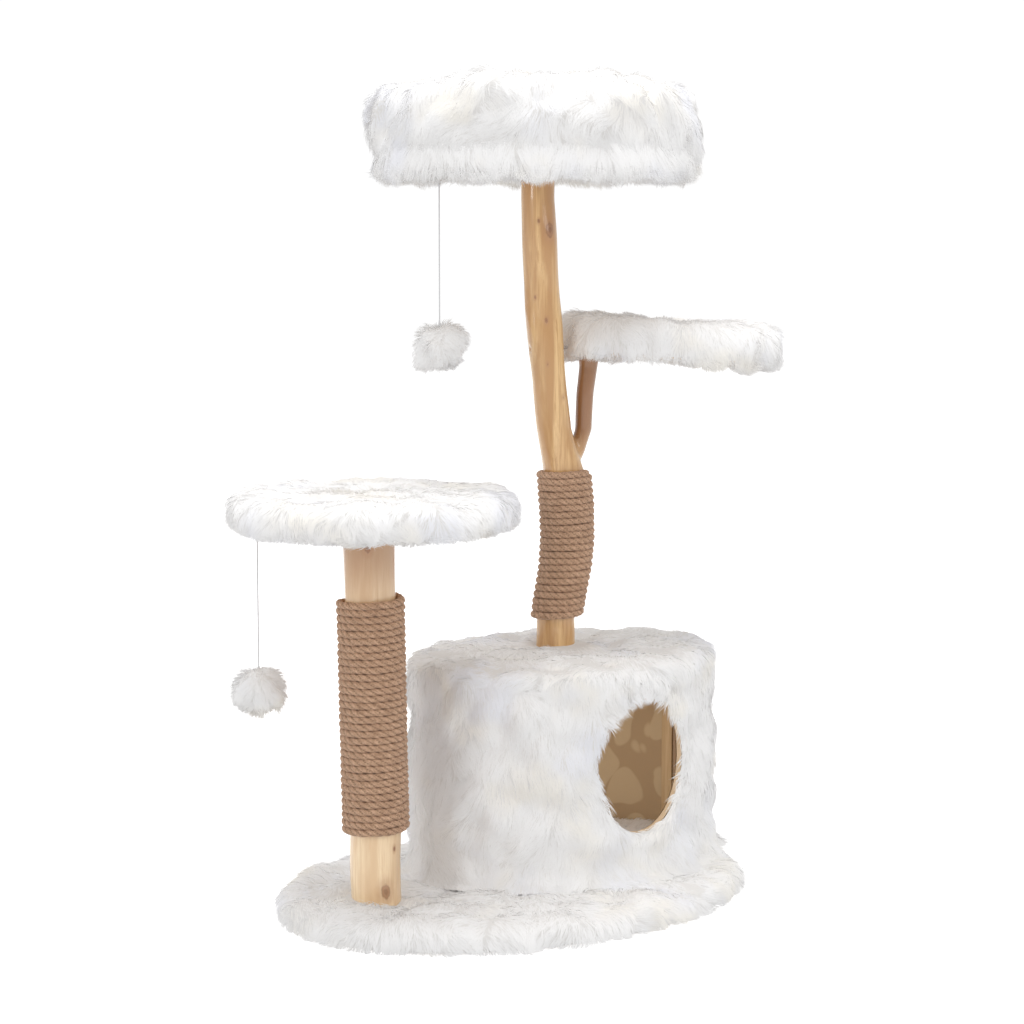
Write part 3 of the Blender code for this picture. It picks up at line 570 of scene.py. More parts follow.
@dataclass(frozen=True)
class Sisal:
    """Twisted sisal: fibres that run along the strands, with painted shade in the grooves between them; it reads
    the rope's own map.
    """

    name: str = "sisal_rope"
    light: tuple = (0.74, 0.49, 0.33)
    mid: tuple = (0.36, 0.21, 0.13)
    # the painted shade in the grooves between strands
    dark: tuple = (0.13, 0.065, 0.035)

    def make(self) -> bpy.types.Material:
        """The material; the map's first value crosses the fibres, and its second one follows the rope.

        Returns:
            The material.
        """
        bench = Bench(self.name)
        uv = bench.add("ShaderNodeUVMap", uv_map="rope").outputs["UV"]
        stretch = bench.add("ShaderNodeVectorMath", {0: uv, 1: (9, 55, 1)}, operation="MULTIPLY").outputs[0]
        fibre = bench.noise(stretch, 3.0, 5.0, 0.7)
        cloud = bench.noise(bench.place(), 70.0, 3.0)
        groove = bench.add("ShaderNodeAttribute", attribute_name="groove").outputs["Fac"]
        tone = bench.mix(bench.spread(fibre, 0.36, 0.64), self.mid, self.light)
        tone = bench.mix(bench.spread(cloud, 0.45, 0.75, 0.0, 0.4), tone, self.mid)
        # painted shade: the grooves between the strands are darkened
        deep = bench.sum("MULTIPLY", bench.spread(groove, 0.25, 1.0), 0.85)
        bench.bump(fibre, 0.9, 0.0013)
        bench.set(Roughness=0.9, Specular_IOR_Level=0.15, Sheen_Weight=0.15)
        return bench.paint(bench.mix(deep, tone, self.dark))


@dataclass(frozen=True)
class Plain:
    """A material of one substance with a faint cloud and a fine relief: steel, plywood, foam or thread."""

    name: str
    light: tuple
    dark: tuple
    roughness: float
    metallic: float = 0.0
    grain: tuple = (1.0, 1.0, 1.0)
    scale: float = 300.0
    relief: float = 0.15

    def make(self) -> bpy.types.Material:
        """The material.

        Returns:
            The material.
        """
        bench = Bench(self.name)
        cloud = bench.noise(bench.place(self.grain), self.scale, 4.0, 0.6)
        bench.bump(cloud, self.relief, 0.0006)
        bench.set(Roughness=self.roughness, Metallic=self.metallic)
        return bench.paint(bench.mix(cloud, self.dark, self.light))


# ---------------------------------------------------------------- fur


@dataclass(frozen=True)
class Strand:
    """The form that every strand of a pile shares: a narrow tapering ribbon of two faces."""

    sides: Array
    steps: Array
    corners: Array
    starts: Array

    @staticmethod
    def drawn(segments: int = 2) -> Strand:
        """Draws the form as a grid one face wide whose last two corners meet in the tip.

        Args:
            segments: faces along the ribbon.

        Returns:
            The form.
        """
        bm = bmesh.new()
        bmesh.ops.create_grid(bm, x_segments=1, y_segments=segments, size=0.5)
        levels = sorted({round(vert.co.y, 4) for vert in bm.verts})
        tips = [vert for vert in bm.verts if round(vert.co.y, 4) == levels[-1]]
        bmesh.ops.pointmerge(bm, verts=tips, merge_co=(0, levels[-1], 0))
        bm.verts.index_update()
        sides = np.array([np.sign(round(vert.co.x, 4)) for vert in bm.verts])
        steps = np.array([levels.index(round(vert.co.y, 4)) for vert in bm.verts])
        faces = [[vert.index for vert in face.verts] for face in bm.faces]
        bm.free()
        starts = np.cumsum([0] + [len(face) for face in faces])
        return Strand(sides, steps, np.concatenate(faces), starts)


@dataclass(frozen=True)
class Pile:
    """Fur on a cloth: strands gathered in locks, and locks in broad tufts that each lie their own way."""

    name: str
    seed: int
    length: float = 0.022
    width: float = 0.0009
    density: float = 300000.0
    lay: Lay = Lay.OUTWARD
    axis: tuple[float, float] = (0.0, 0.0)
    floor: float = 0.001
    lift: float = 0.55
    lock: float = 0.008
    tuft: float = 0.036
    swing: float = 0.55
    gather: float = 0.45
    bunch: float = 0.16
    droop: float = 0.002
    fringe: float = 0.003
    flatten: float = 0.45
    soft: float = 0.72
    keep: Test | None = None
    lean: Callable[[Array], Array] | None = None

    def grow(self, cloth: bpy.types.Object, body: Body, material: bpy.types.Material) -> bpy.types.Object:
        """Grows the pile on a cloth.

        Args:
            cloth: the piece that the strands are rooted in.
            body: the body that the pile rides on.
            material: its finish.

        Returns:
            The pile.
        """
        rng = np.random.default_rng(self.seed)
        roots, normals = self.rooted(cloth, rng)
        lines = self.combed(roots, normals, rng)
        piece = self.woven(lines, normals, rng)
        piece.data.materials.append(material)
        return enrol(piece, body)

    def rooted(self, cloth: bpy.types.Object, rng: np.random.Generator) -> tuple[Array, Array]:
        """Even places on the cloth, with the way that it faces there.

        Args:
            cloth: the piece that the strands are rooted in.
            rng: the random draws.

        Returns:
            The places, and the way that the cloth faces at each.
        """
        mesh = cloth.data
        mesh.calc_loop_triangles()
        points = np.empty(len(mesh.vertices) * 3, np.float32)
        mesh.vertices.foreach_get("co", points)
        facing = np.empty(len(mesh.vertices) * 3, np.float32)
        mesh.vertex_normals.foreach_get("vector", facing)
        corners = np.empty(len(mesh.loop_triangles) * 3, np.int32)
        mesh.loop_triangles.foreach_get("vertices", corners)
        corners = corners.reshape(-1, 3)
        tri, way = points.reshape(-1, 3)[corners].astype(float), facing.reshape(-1, 3)[corners].astype(float)
        areas = np.linalg.norm(np.cross(tri[:, 1] - tri[:, 0], tri[:, 2] - tri[:, 0]), axis=1) / 2
        if self.keep is not None:
            areas = areas * self.keep(tri.mean(axis=1), unit(way.mean(axis=1)))
        count = round(areas.sum() * self.density)
        chosen = rng.choice(len(areas), count, p=areas / areas.sum())
        one, two = rng.random(count), rng.random(count)
        over = one + two > 1
        one[over], two[over] = 1 - one[over], 1 - two[over]
        weights = np.stack([1 - one - two, one, two], axis=1)[:, :, None]
        return (tri[chosen] * weights).sum(axis=1), unit((way[chosen] * weights).sum(axis=1))

    def groups(self, roots: Array, spacing: float, rng: np.random.Generator) -> tuple[Array, Array]:
        """Gathers roots round seeds that are about a spacing apart: the seeds, and each root's group.

        Args:
            roots: the strands' roots.
            spacing: the distance between seeds.
            rng: the random draws.

        Returns:
            The seeds, and each root's group.
        """
        count = max(6, round(len(roots) / self.density / spacing**2))
        seeds = rng.choice(len(roots), min(count, len(roots)), replace=False)
        tree = KDTree(len(seeds))
        for index, seed in enumerate(seeds):
            tree.insert(roots[seed], index)
        tree.balance()
        return seeds, np.array([tree.find(root)[1] for root in roots])

    def comb(self, roots: Array, normals: Array) -> Array:
        """The way that the pile lies at each root, before its tufts turn it.

        Args:
            roots: the strands' roots.
            normals: the way that the cloth faces at each root.

        Returns:
            One direction to a row.
        """
        down = np.array([0.0, 0.0, -1.0])
        if self.lay is Lay.DOWN:
            way = np.broadcast_to(down, roots.shape).copy()
        else:
            way = roots - np.array([*self.axis, 0.0])
            way[:, 2] = 0
            way = unit(way) + down * 0.9
        way += 0.02 * np.cross(normals, np.array([0.3, 0.5, 0.8]))
        if self.lean is not None:
            way += self.lean(roots)
        return unit(way - (way * normals).sum(axis=1, keepdims=True) * normals)

    def combed(self, roots: Array, normals: Array, rng: np.random.Generator) -> Array:
        """Each strand's three points, from its root to its tip.

        Args:
            roots: the strands' roots.
            normals: the way that the cloth faces at each root.
            rng: the random draws.

        Returns:
            Three points for each strand.
        """
        patches, tufts = self.groups(roots, self.tuft, rng)
        seeds, locks = self.groups(roots, self.lock, rng)
        some, count = len(patches), len(roots)
        lay = self.comb(roots, normals)
        turn = self.swing * (rng.normal(size=some)[tufts] * 0.6 + Waves(self.seed + 1, 0.11)(roots) * 0.6)
        turn = turn + (rng.normal(size=len(seeds)) * 0.16)[locks]
        flat = 1 - self.flatten * np.clip(normals[:, 2], 0, 1) ** 2
        rise = self.lift * flat * (1 + 0.22 * rng.normal(size=some))[tufts]
        size = self.length * (1 + 0.10 * rng.normal(size=some))[tufts]
        whole = self.drawn(roots, normals, lay, turn, rise, size)
        turn = turn + rng.normal(size=count) * 0.20
        rise = np.clip(rise * (1 + 0.30 * rng.normal(size=count)), 0.08, 1.5)
        size = size * rng.uniform(0.70, 1.12, count)
        lines = self.drawn(roots, normals, lay, turn, rise, size)
        pull = np.array([0.0, 0.35, 1.0])[None, :, None] * rng.uniform(0.4, 1.0, (count, 1, 1))
        lines = lines + pull * self.gather * (whole[seeds][locks] - lines)
        lines = lines + pull * self.bunch * (whole[patches][tufts] - lines)
        lines[:, :, 2] -= self.droop * np.array([0.0, 0.3, 1.0]) * rng.uniform(0.6, 1.4, (count, 1))
        hems = self.floor + self.fringe * Waves(self.seed + 2, 0.06)(roots)[:, None]
        floors = np.maximum(hems + 0.0022 * rng.normal(size=(count, 1)), 0.0008)
        raised = floors + 0.1 * (lines[:, :, 2] - floors)
        lines[:, :, 2] = np.where(lines[:, :, 2] < floors, raised, lines[:, :, 2])
        lines[:, :, 2] = np.maximum(lines[:, :, 2], 0.0006)
        return lines

    def drawn(
        self, roots: Array, normals: Array, lay: Array, turn: Array, rise: Array, size: Array
    ) -> Array:
        """Strands that rise from their roots and bend over along their lay.

        Args:
            roots: the strands' roots.
            normals: the way that the cloth faces at each root.
            lay: the way that the pile lies at each root.
            turn: how far each strand turns from its lay, in radians.
            rise: how far each strand stands up, in radians.
            size: each strand's length.

        Returns:
            Three points for each strand.
        """
        across = np.cross(normals, lay)
        way = lay * np.cos(turn)[:, None] + across * np.sin(turn)[:, None]
        points = [roots - normals * 0.0012]
        for bend in (1.0, 0.90) if self.lay is Lay.BALL else (1.0, 0.42):
            angle = (rise * bend)[:, None]
            points.append(points[-1] + (size / 2)[:, None] * (way * np.cos(angle) + normals * np.sin(angle)))
        return np.stack(points, axis=1)

    def woven(self, lines: Array, normals: Array, rng: np.random.Generator) -> bpy.types.Object:
        """Copies the strand's form along every line into one mesh.

        Args:
            lines: each strand's three points.
            normals: the way that the cloth faces at each root.
            rng: the random draws.

        Returns:
            The pile, not yet enrolled.
        """
        form, count = Strand.drawn(), len(lines)
        tangents = unit(np.gradient(lines, axis=1))
        flat = unit(np.cross(tangents, normals[:, None, :]))
        roll = rng.normal(size=(count, 1, 1)) * 0.45
        side = flat * np.cos(roll) + normals[:, None, :] * np.sin(roll)
        widths = self.width / 2 * np.array([0.9, 0.95, 0.0])[None, :, None]
        widths = widths * rng.uniform(0.6, 1.3, (count, 1, 1))
        points = lines[:, form.steps] + form.sides[None, :, None] * (side * widths)[:, form.steps]
        facing = unit(np.cross(side, tangents))
        facing = unit(self.soft * normals[:, None, :] + (1 - self.soft) * facing)[:, form.steps]
        mesh = bpy.data.meshes.new(self.name)
        each = len(form.sides)
        mesh.vertices.add(count * each)
        mesh.vertices.foreach_set("co", points.astype(np.float32).ravel())
        mesh.loops.add(count * len(form.corners))
        corners = form.corners[None, :] + each * np.arange(count)[:, None]
        mesh.loops.foreach_set("vertex_index", corners.astype(np.int32).ravel())
        faces = len(form.starts) - 1
        mesh.polygons.add(count * faces)
        starts = form.starts[None, :-1] + len(form.corners) * np.arange(count)[:, None]
        mesh.polygons.foreach_set("loop_start", starts.astype(np.int32).ravel())
        mesh.update(calc_edges=True)
        mesh.shade_smooth()
        light = mesh.attributes.new("custom_normal", "FLOAT_VECTOR", "POINT")
        light.data.foreach_set("vector", facing.astype(np.float32).ravel())
        along = mesh.attributes.new("along", "FLOAT", "POINT")
        share = np.tile(form.steps / form.steps.max(), count)
        along.data.foreach_set("value", share.astype(np.float32))
        piece = bpy.data.objects.new(self.name, mesh)
        # the cloth under it casts the shadows and bounces the light, as light seeps through real pile
        piece.visible_shadow = piece.visible_diffuse = False
        return piece


@dataclass(frozen=True)
class Palette:
    """The finished materials that several sub-assemblies share."""

    fur: bpy.types.Material
    cloth: bpy.types.Material
    string: bpy.types.Material
    steel: bpy.types.Material
    sisal: bpy.types.Material

    @staticmethod
    def mixed() -> Palette:
        """Makes each shared material once.

        Returns:
            The palette.
        """
        return Palette(
            fur=Fur().make(),
            cloth=Cloth("pile_backing", (0.76, 0.75, 0.74), (0.70, 0.685, 0.67)).make(),
            string=Plain("toy_string", (0.74, 0.74, 0.75), (0.52, 0.52, 0.54), 0.75, scale=2500.0).make(),
            steel=Plain("zinc_steel", (0.72, 0.72, 0.74), (0.52, 0.52, 0.54), 0.32, 1.0).make(),
            sisal=Sisal().make(),
        )


def in_oval(points: Array, centre: Sequence[float], half_x: float, half_y: float) -> Array:
    """Which points stand inside an upright oval."""
    across, back = (points[:, 0] - centre[0]) / half_x, (points[:, 1] - centre[1]) / half_y
    return across**2 + back**2 < 1


# ---------------------------------------------------------------- sub-assemblies


@dataclass
class Base:
    """The oval base: fur over its top and round its edge."""

    palette: Palette
    cloth_depth: float = 0.006
    lump: float = 0.0034

    def build(self) -> None:
        """Builds the cloth and its pile, open where the condo and the short post stand."""
        low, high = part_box("base_cover")
        foot_low, foot_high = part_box("condo_cover")
        post, footprint = middle_of("short_post_washer"), middle_of("condo_cover")
        half_x, half_y = high.x - self.cloth_depth, high.y - self.cloth_depth
        top = high.z - 0.0015
        profile = rounded(
            ((-0.014, low.z), (0.001, low.z), (0.002, low.z + 0.012), (-0.001, top - 0.006), (-0.03, top)), 0.004
        )
        skin = OvalSkin((0, 0), half_x, half_y, profile)
        bm = skin.surface()
        lumps = Waves(11, 0.07)
        displace(bm, lambda p: self.lump * (0.65 * lumps(p) + 0.35) * (p[:, 2] > low.z + 0.004))
        cloth = add_piece("base_fur_cloth", bm, self.palette.cloth, Body.FRAME)
        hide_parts("base_cover")
        half_foot = (foot_high - foot_low) / 2

        def keep(points: Array, facing: Array) -> Array:
            """Tells where fur grows.

            Args:
                points: the points, one to a row.
                facing: the way that the cloth faces at each point.

            Returns:
                Whether fur grows at each point.
            """
            under_condo = in_oval(points, footprint, half_foot.x - 0.022, half_foot.y - 0.022)
            at_post = in_oval(points, post, 0.0385, 0.0385)
            return ~(under_condo | at_post) & (facing[:, 2] > -0.7)

        pile = Pile("base_fur", 21, density=270000.0, length=0.023, keep=keep, lift=0.6, swing=0.75)
        pile.grow(cloth, Body.FRAME, self.palette.fur)


@dataclass
class Condo:
    """The oval drum condo: fur wall with a doorway, fur roof, felt lining and a fur mat."""

    palette: Palette
    cloth_depth: float = 0.006
    flare: float = 0.016
    lump: float = 0.0030
    door_turn: float = math.radians(-82)
    door_sill: float = 0.062
    door_header: float = 0.031
    door_width: float = 0.158
    rim: float = 0.0005

    def __post_init__(self) -> None:
        """Reads the drum's place and sizes from the frame."""
        self.low, self.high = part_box("condo_wall")
        self.centre = ((self.low.x + self.high.x) / 2, (self.low.y + self.high.y) / 2)
        self.half_x, self.half_y = self.high.x - self.centre[0], self.high.y - self.centre[1]
        height = self.high.z - self.low.z
        self.door_half_height = (height - self.door_sill - self.door_header) / 2
        turn = self.door_turn
        self.door_middle = np.array(
            [
                self.centre[0] + self.half_x * math.cos(turn),
                self.centre[1] + self.half_y * math.sin(turn),
                self.low.z + self.door_sill + self.door_half_height,
            ]
        )
        facing = unit(np.array([self.half_y * math.cos(turn), self.half_x * math.sin(turn), 0.0]))
        self.door_facing = facing
        self.door_across = np.array([-facing[1], facing[0], 0.0])

    def build(self) -> None:
        """Builds every piece of the condo."""
        self.wall()
        self.roof()
        self.lining()
        self.mat()

    def from_door(self, points: Array) -> tuple[Array, Array, Array]:
        """Where points are on the doorway's oval.

        Args:
            points: the points.

        Returns:
            How far each is across and above the doorway's middle, and its share of the oval's radius; the
            share is 9 on the drum's far side.
        """
        gap = points - self.door_middle
        across, up = gap @ self.door_across, gap[:, 2]
        share = np.hypot(across / (self.door_width / 2), up / self.door_half_height)
        share[gap @ self.door_facing < -0.6 * self.half_y] = 9.0
        return across, up, share

    def open_doorway(self, bm: bmesh.types.BMesh, rim: float) -> list[bmesh.types.BMVert]:
        """Cuts the doorway in a wall cloth and draws its edge to a clean oval.

        Args:
            bm: the cloth.
            rim: how much smaller the opening is than the doorway, all round.

        Returns:
            The corners along the opening's edge.
        """
        half_wide, half_high = self.door_width / 2 - rim, self.door_half_height - rim
        shrink = 1 - rim / half_wide
        middles = np.array([face.calc_center_median() for face in bm.faces], float)
        share = self.from_door(middles)[2]
        inside = [face for face, inner in zip(bm.faces, share < shrink) if inner]
        bmesh.ops.delete(bm, geom=inside, context="FACES")
        edge = [vert for vert in bm.verts if vert.is_boundary]
        points = np.array([vert.co for vert in edge], float)
        across, up, share = self.from_door(points)
        found = []
        for vert, side, rise, at in zip(edge, across, up, share):
            if at > 1.5:
                continue
            turn = math.atan2(rise / half_high, side / half_wide)
            move = (half_wide * math.cos(turn) - side) * self.door_across
            move[2] = half_high * math.sin(turn) - rise
            vert.co += Vector(move)
            found.append(vert)
        return found

    def wall(self) -> None:
        """The fur round the drum: a cloth with the doorway, turned in at its edge, and two halves of pile."""
        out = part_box("condo_cover")[1].x - self.high.x - self.cloth_depth
        low, high = self.low.z, self.high.z
        profile = rounded(
            ((out + self.flare, low), (out + 0.3 * self.flare, low + 0.014), (out, low + 0.045), (out, high)),
            0.005,
        )
        skin = OvalSkin(self.centre, self.half_x, self.half_y, profile, cap=False, step=0.0055)
        bm = skin.surface()
        lumps = Waves(31, 0.06)
        displace(bm, lambda p: self.lump * lumps(p) * (self.from_door(p)[2] > 1.12))
        self.open_doorway(bm, self.rim)
        self.turn_in(bm)
        cloth = add_piece("condo_fur_cloth", bm, self.palette.cloth, Body.FRAME)
        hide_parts("condo_cover")
        for number, side in (("1", 1), ("2", -1)):

            def keep(points: Array, facing: Array, side: int = side) -> Array:
                """Tells where fur grows."""
                outside = (facing[:, :2] * unit(points[:, :2] - np.array(self.centre))).sum(axis=1) > -0.5
                return outside & (side * (points[:, 0] - self.centre[0]) > 0)

            pile = Pile(
                f"condo_fur_{number}",
                40 + side,
                length=0.024,
                lay=Lay.DOWN,
                lift=0.42,
                floor=low + 0.002,
                keep=keep,
                lean=self.over_edge,
            )
            pile.grow(cloth, Body.FRAME, self.palette.fur)

    def over_edge(self, points: Array) -> Array:
        """How the fur by the doorway leans over its edge: most at the upper left and at the right.

        Args:
            points: the points, one to a row.

        Returns:
            What is added to the lay at each point.
        """
        across, up, share = self.from_door(points)
        near = np.clip((1.34 - share) / 0.26, 0, 1) * (share < 1.5)
        inward = -(across[:, None] * self.door_across + up[:, None] * np.array([0.0, 0.0, 1.0]))
        side, rise = across / (self.door_width / 2), up / self.door_half_height
        upper_left = np.exp(-((side + 0.65) ** 2 + (rise - 0.75) ** 2) / 0.12)
        tufts = np.clip(0.25 + 0.5 * Waves(33, 0.03)(points), 0, 1)
        amount = near * (1.3 * upper_left + np.clip(side, 0, 1) * (0.7 + tufts) + 0.4 * tufts)
        return unit(inward) * (1.5 * amount)[:, None]

    def turn_in(self, bm: bmesh.types.BMesh) -> None:
        """Turns the cloth in round the doorway, over the wall's cut edge.

        Args:
            bm: the surface.
        """
        depth = 0.007
        edges = [edge for edge in bm.edges if edge.is_boundary]
        near = [e for e in edges if self.from_door(np.array([e.verts[0].co], float))[2][0] < 1.4]
        for _ in range(3):
            made = bmesh.ops.extrude_edge_only(bm, edges=near)["geom"]
            verts = [item for item in made if isinstance(item, bmesh.types.BMVert)]
            near = [item for item in made if isinstance(item, bmesh.types.BMEdge) and item.is_boundary]
            bmesh.ops.translate(bm, verts=verts, vec=Vector(-self.door_facing * depth / 3))
        bmesh.ops.recalc_face_normals(bm, faces=bm.faces)

    def roof(self) -> None:
        """The fur over the roof, open at the tall post's foot."""
        low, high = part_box("condo_roof_cover")
        post = middle_of("tall_post_washer")
        out = high.x - self.high.x - self.cloth_depth
        top = high.z - 0.001
        profile = rounded(
            ((out + 0.001, low.z - 0.014), (out + 0.002, low.z - 0.002), (out, top - 0.004), (-0.03, top)), 0.004
        )
        skin = OvalSkin(self.centre, self.half_x, self.half_y, profile)
        bm = skin.surface()
        lumps = Waves(51, 0.06)
        displace(bm, lambda p: self.lump * 0.7 * lumps(p) * (p[:, 2] > low.z + 0.003))
        cloth = add_piece("condo_roof_fur_cloth", bm, self.palette.cloth, Body.FRAME)
        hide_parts("condo_roof_cover")

        def keep(points: Array, facing: Array) -> Array:
            """Keeps fur off the post and the underside."""
            return ~in_oval(points, post, 0.031, 0.031) & (facing[:, 2] > -0.5)

        pile = Pile("condo_roof_fur", 61, lift=0.42, axis=self.centre, swing=0.9, droop=0.004, keep=keep)
        pile.grow(cloth, Body.FRAME, self.palette.fur)

    def lining(self) -> None:
        """The felt lining: one sheet with a leaf print, and a plainer stretch to the right of the batten whose
        felt is darker, partly as painted shade.
        """
        low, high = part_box("condo_liner")
        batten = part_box("condo_wall_batten")
        inset = self.high.x - high.x + 0.0022
        profile = rounded(((-inset, low.z), (-inset, high.z)), 0.006)
        skin = OvalSkin(self.centre, self.half_x, self.half_y, profile, cap=False, step=0.0055)
        bm = skin.surface()
        self.open_doorway(bm, -0.001)
        gap = (batten[1].y - batten[0].y) / 2 + 0.001
        middle = (batten[0].y + batten[1].y) / 2
        hidden = [
            face
            for face in bm.faces
            if face.calc_center_median().x > batten[0].x - 0.02
            and abs(face.calc_center_median().y - middle) < gap
        ]
        bmesh.ops.delete(bm, geom=hidden, context="FACES")
        bmesh.ops.reverse_faces(bm, faces=bm.faces)
        liner = add_piece("condo_lining", bm, LeafFelt().make(), Body.FRAME)
        # partly painted shade: the plain felt right of the batten is darker than the leaf felt, for the shadow
        # beside the doorway
        liner.data.materials.append(Cloth("shaded_plain_felt", (0.46, 0.31, 0.20), (0.34, 0.22, 0.14)).make())
        for face in liner.data.polygons:
            plain = face.center.x > batten[0].x - 0.06 and face.center.y < middle
            face.material_index = 1 if plain else 0
        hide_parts("condo_liner")

    def mat(self) -> None:
        """The fur mat on the condo's floor."""
        low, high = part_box("condo_floor_mat")
        half_x, half_y = (high.x - low.x) / 2, (high.y - low.y) / 2
        profile = rounded(((-0.002, low.z), (0, low.z), (0, low.z + 0.003), (-0.01, low.z + 0.004)), 0.003)
        bm = OvalSkin(self.centre, half_x, half_y, profile, step=0.008).surface()
        cloth = add_piece("condo_mat_cloth", bm, self.palette.cloth, Body.FRAME)
        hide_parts("condo_floor_mat")

        def keep(points: Array, facing: Array) -> Array:
            """Keeps fur on the top."""
            return facing[:, 2] > 0.3

        pile = Pile("condo_mat_fur", 71, length=0.016, density=130000.0, width=0.0013, lift=0.7, keep=keep)
        pile.grow(cloth, Body.FRAME, self.palette.fur)


@dataclass
class Perch:
    """A round padded perch in a fur cover, level or tilted as its board is."""

    name: str
    seed: int
    palette: Palette
    bare_at: str | None = None  # a screw eye that the fur is trimmed round
    cloth_depth: float = 0.006
    lump: float = 0.0032

    def __post_init__(self) -> None:
        """Finds the board's middle, tilt and radius from its corners."""
        points = node_points(f"{self.name}_board")
        _, axes = np.linalg.eigh(np.cov((points - points.mean(axis=0)).T))
        up = axes[:, 0] * math.copysign(1.0, axes[2, 0])
        turn = Vector((0, 0, 1)).rotation_difference(Vector(up)).to_matrix()
        local = points @ np.array(turn)
        middle = (local.min(axis=0) + local.max(axis=0)) / 2
        self.radius = (local[:, 0].max() - local[:, 0].min()) / 2
        self.board = (local[:, 2].max() - local[:, 2].min()) / 2
        self.matrix = turn.to_4x4()
        self.matrix.translation = turn @ Vector(middle)

    def build(self) -> None:
        """Builds the cover's cloth and its pile, open round the post."""
        local = node_points(f"{self.name}_cover") @ np.array(self.matrix.to_3x3())
        local = local - np.array(self.matrix.to_3x3().inverted() @ self.matrix.translation)
        outer, top, bottom = local[:, 0].max(), local[:, 2].max(), local[:, 2].min()
        out = outer - self.cloth_depth
        crown = top - 0.0015
        profile = rounded(
            (
                (self.radius - 0.026 - out, bottom + 0.007),
                (-0.007, bottom + 0.005),
                (0.0005, bottom + 0.018),
                (0.0005, 0.35 * bottom + 0.65 * crown),
                (-0.007, crown - 0.002),
                (-0.045, crown),
            ),
            0.004,
        )
        bm = OvalSkin((0, 0), out, out, profile).surface()
        bmesh.ops.transform(bm, matrix=self.matrix, verts=bm.verts)
        lumps, swell = Waves(self.seed, 0.06), Waves(self.seed + 1, 0.16)
        displace(bm, lambda p: self.lump * (0.7 * lumps(p) + 0.3 * swell(p)))
        cloth = add_piece(f"{self.name}_fur_cloth", bm, self.palette.cloth, Body.FRAME)
        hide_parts(f"{self.name}_cover")
        middle = self.matrix.translation
        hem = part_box(f"{self.name}_cover")[0].z
        eye = np.array(middle_of(self.bare_at)) if self.bare_at else np.full(3, 9.0)

        def keep(points: Array, facing: Array) -> Array:
            """Tells where fur grows."""
            return np.linalg.norm(points - eye, axis=1) > BARE_REACH

        axis = (middle.x, middle.y)
        pile = Pile(f"{self.name}_fur", self.seed + 2, axis=axis, floor=hem + 0.002, keep=keep)
        pile.grow(cloth, Body.FRAME, self.palette.fur)


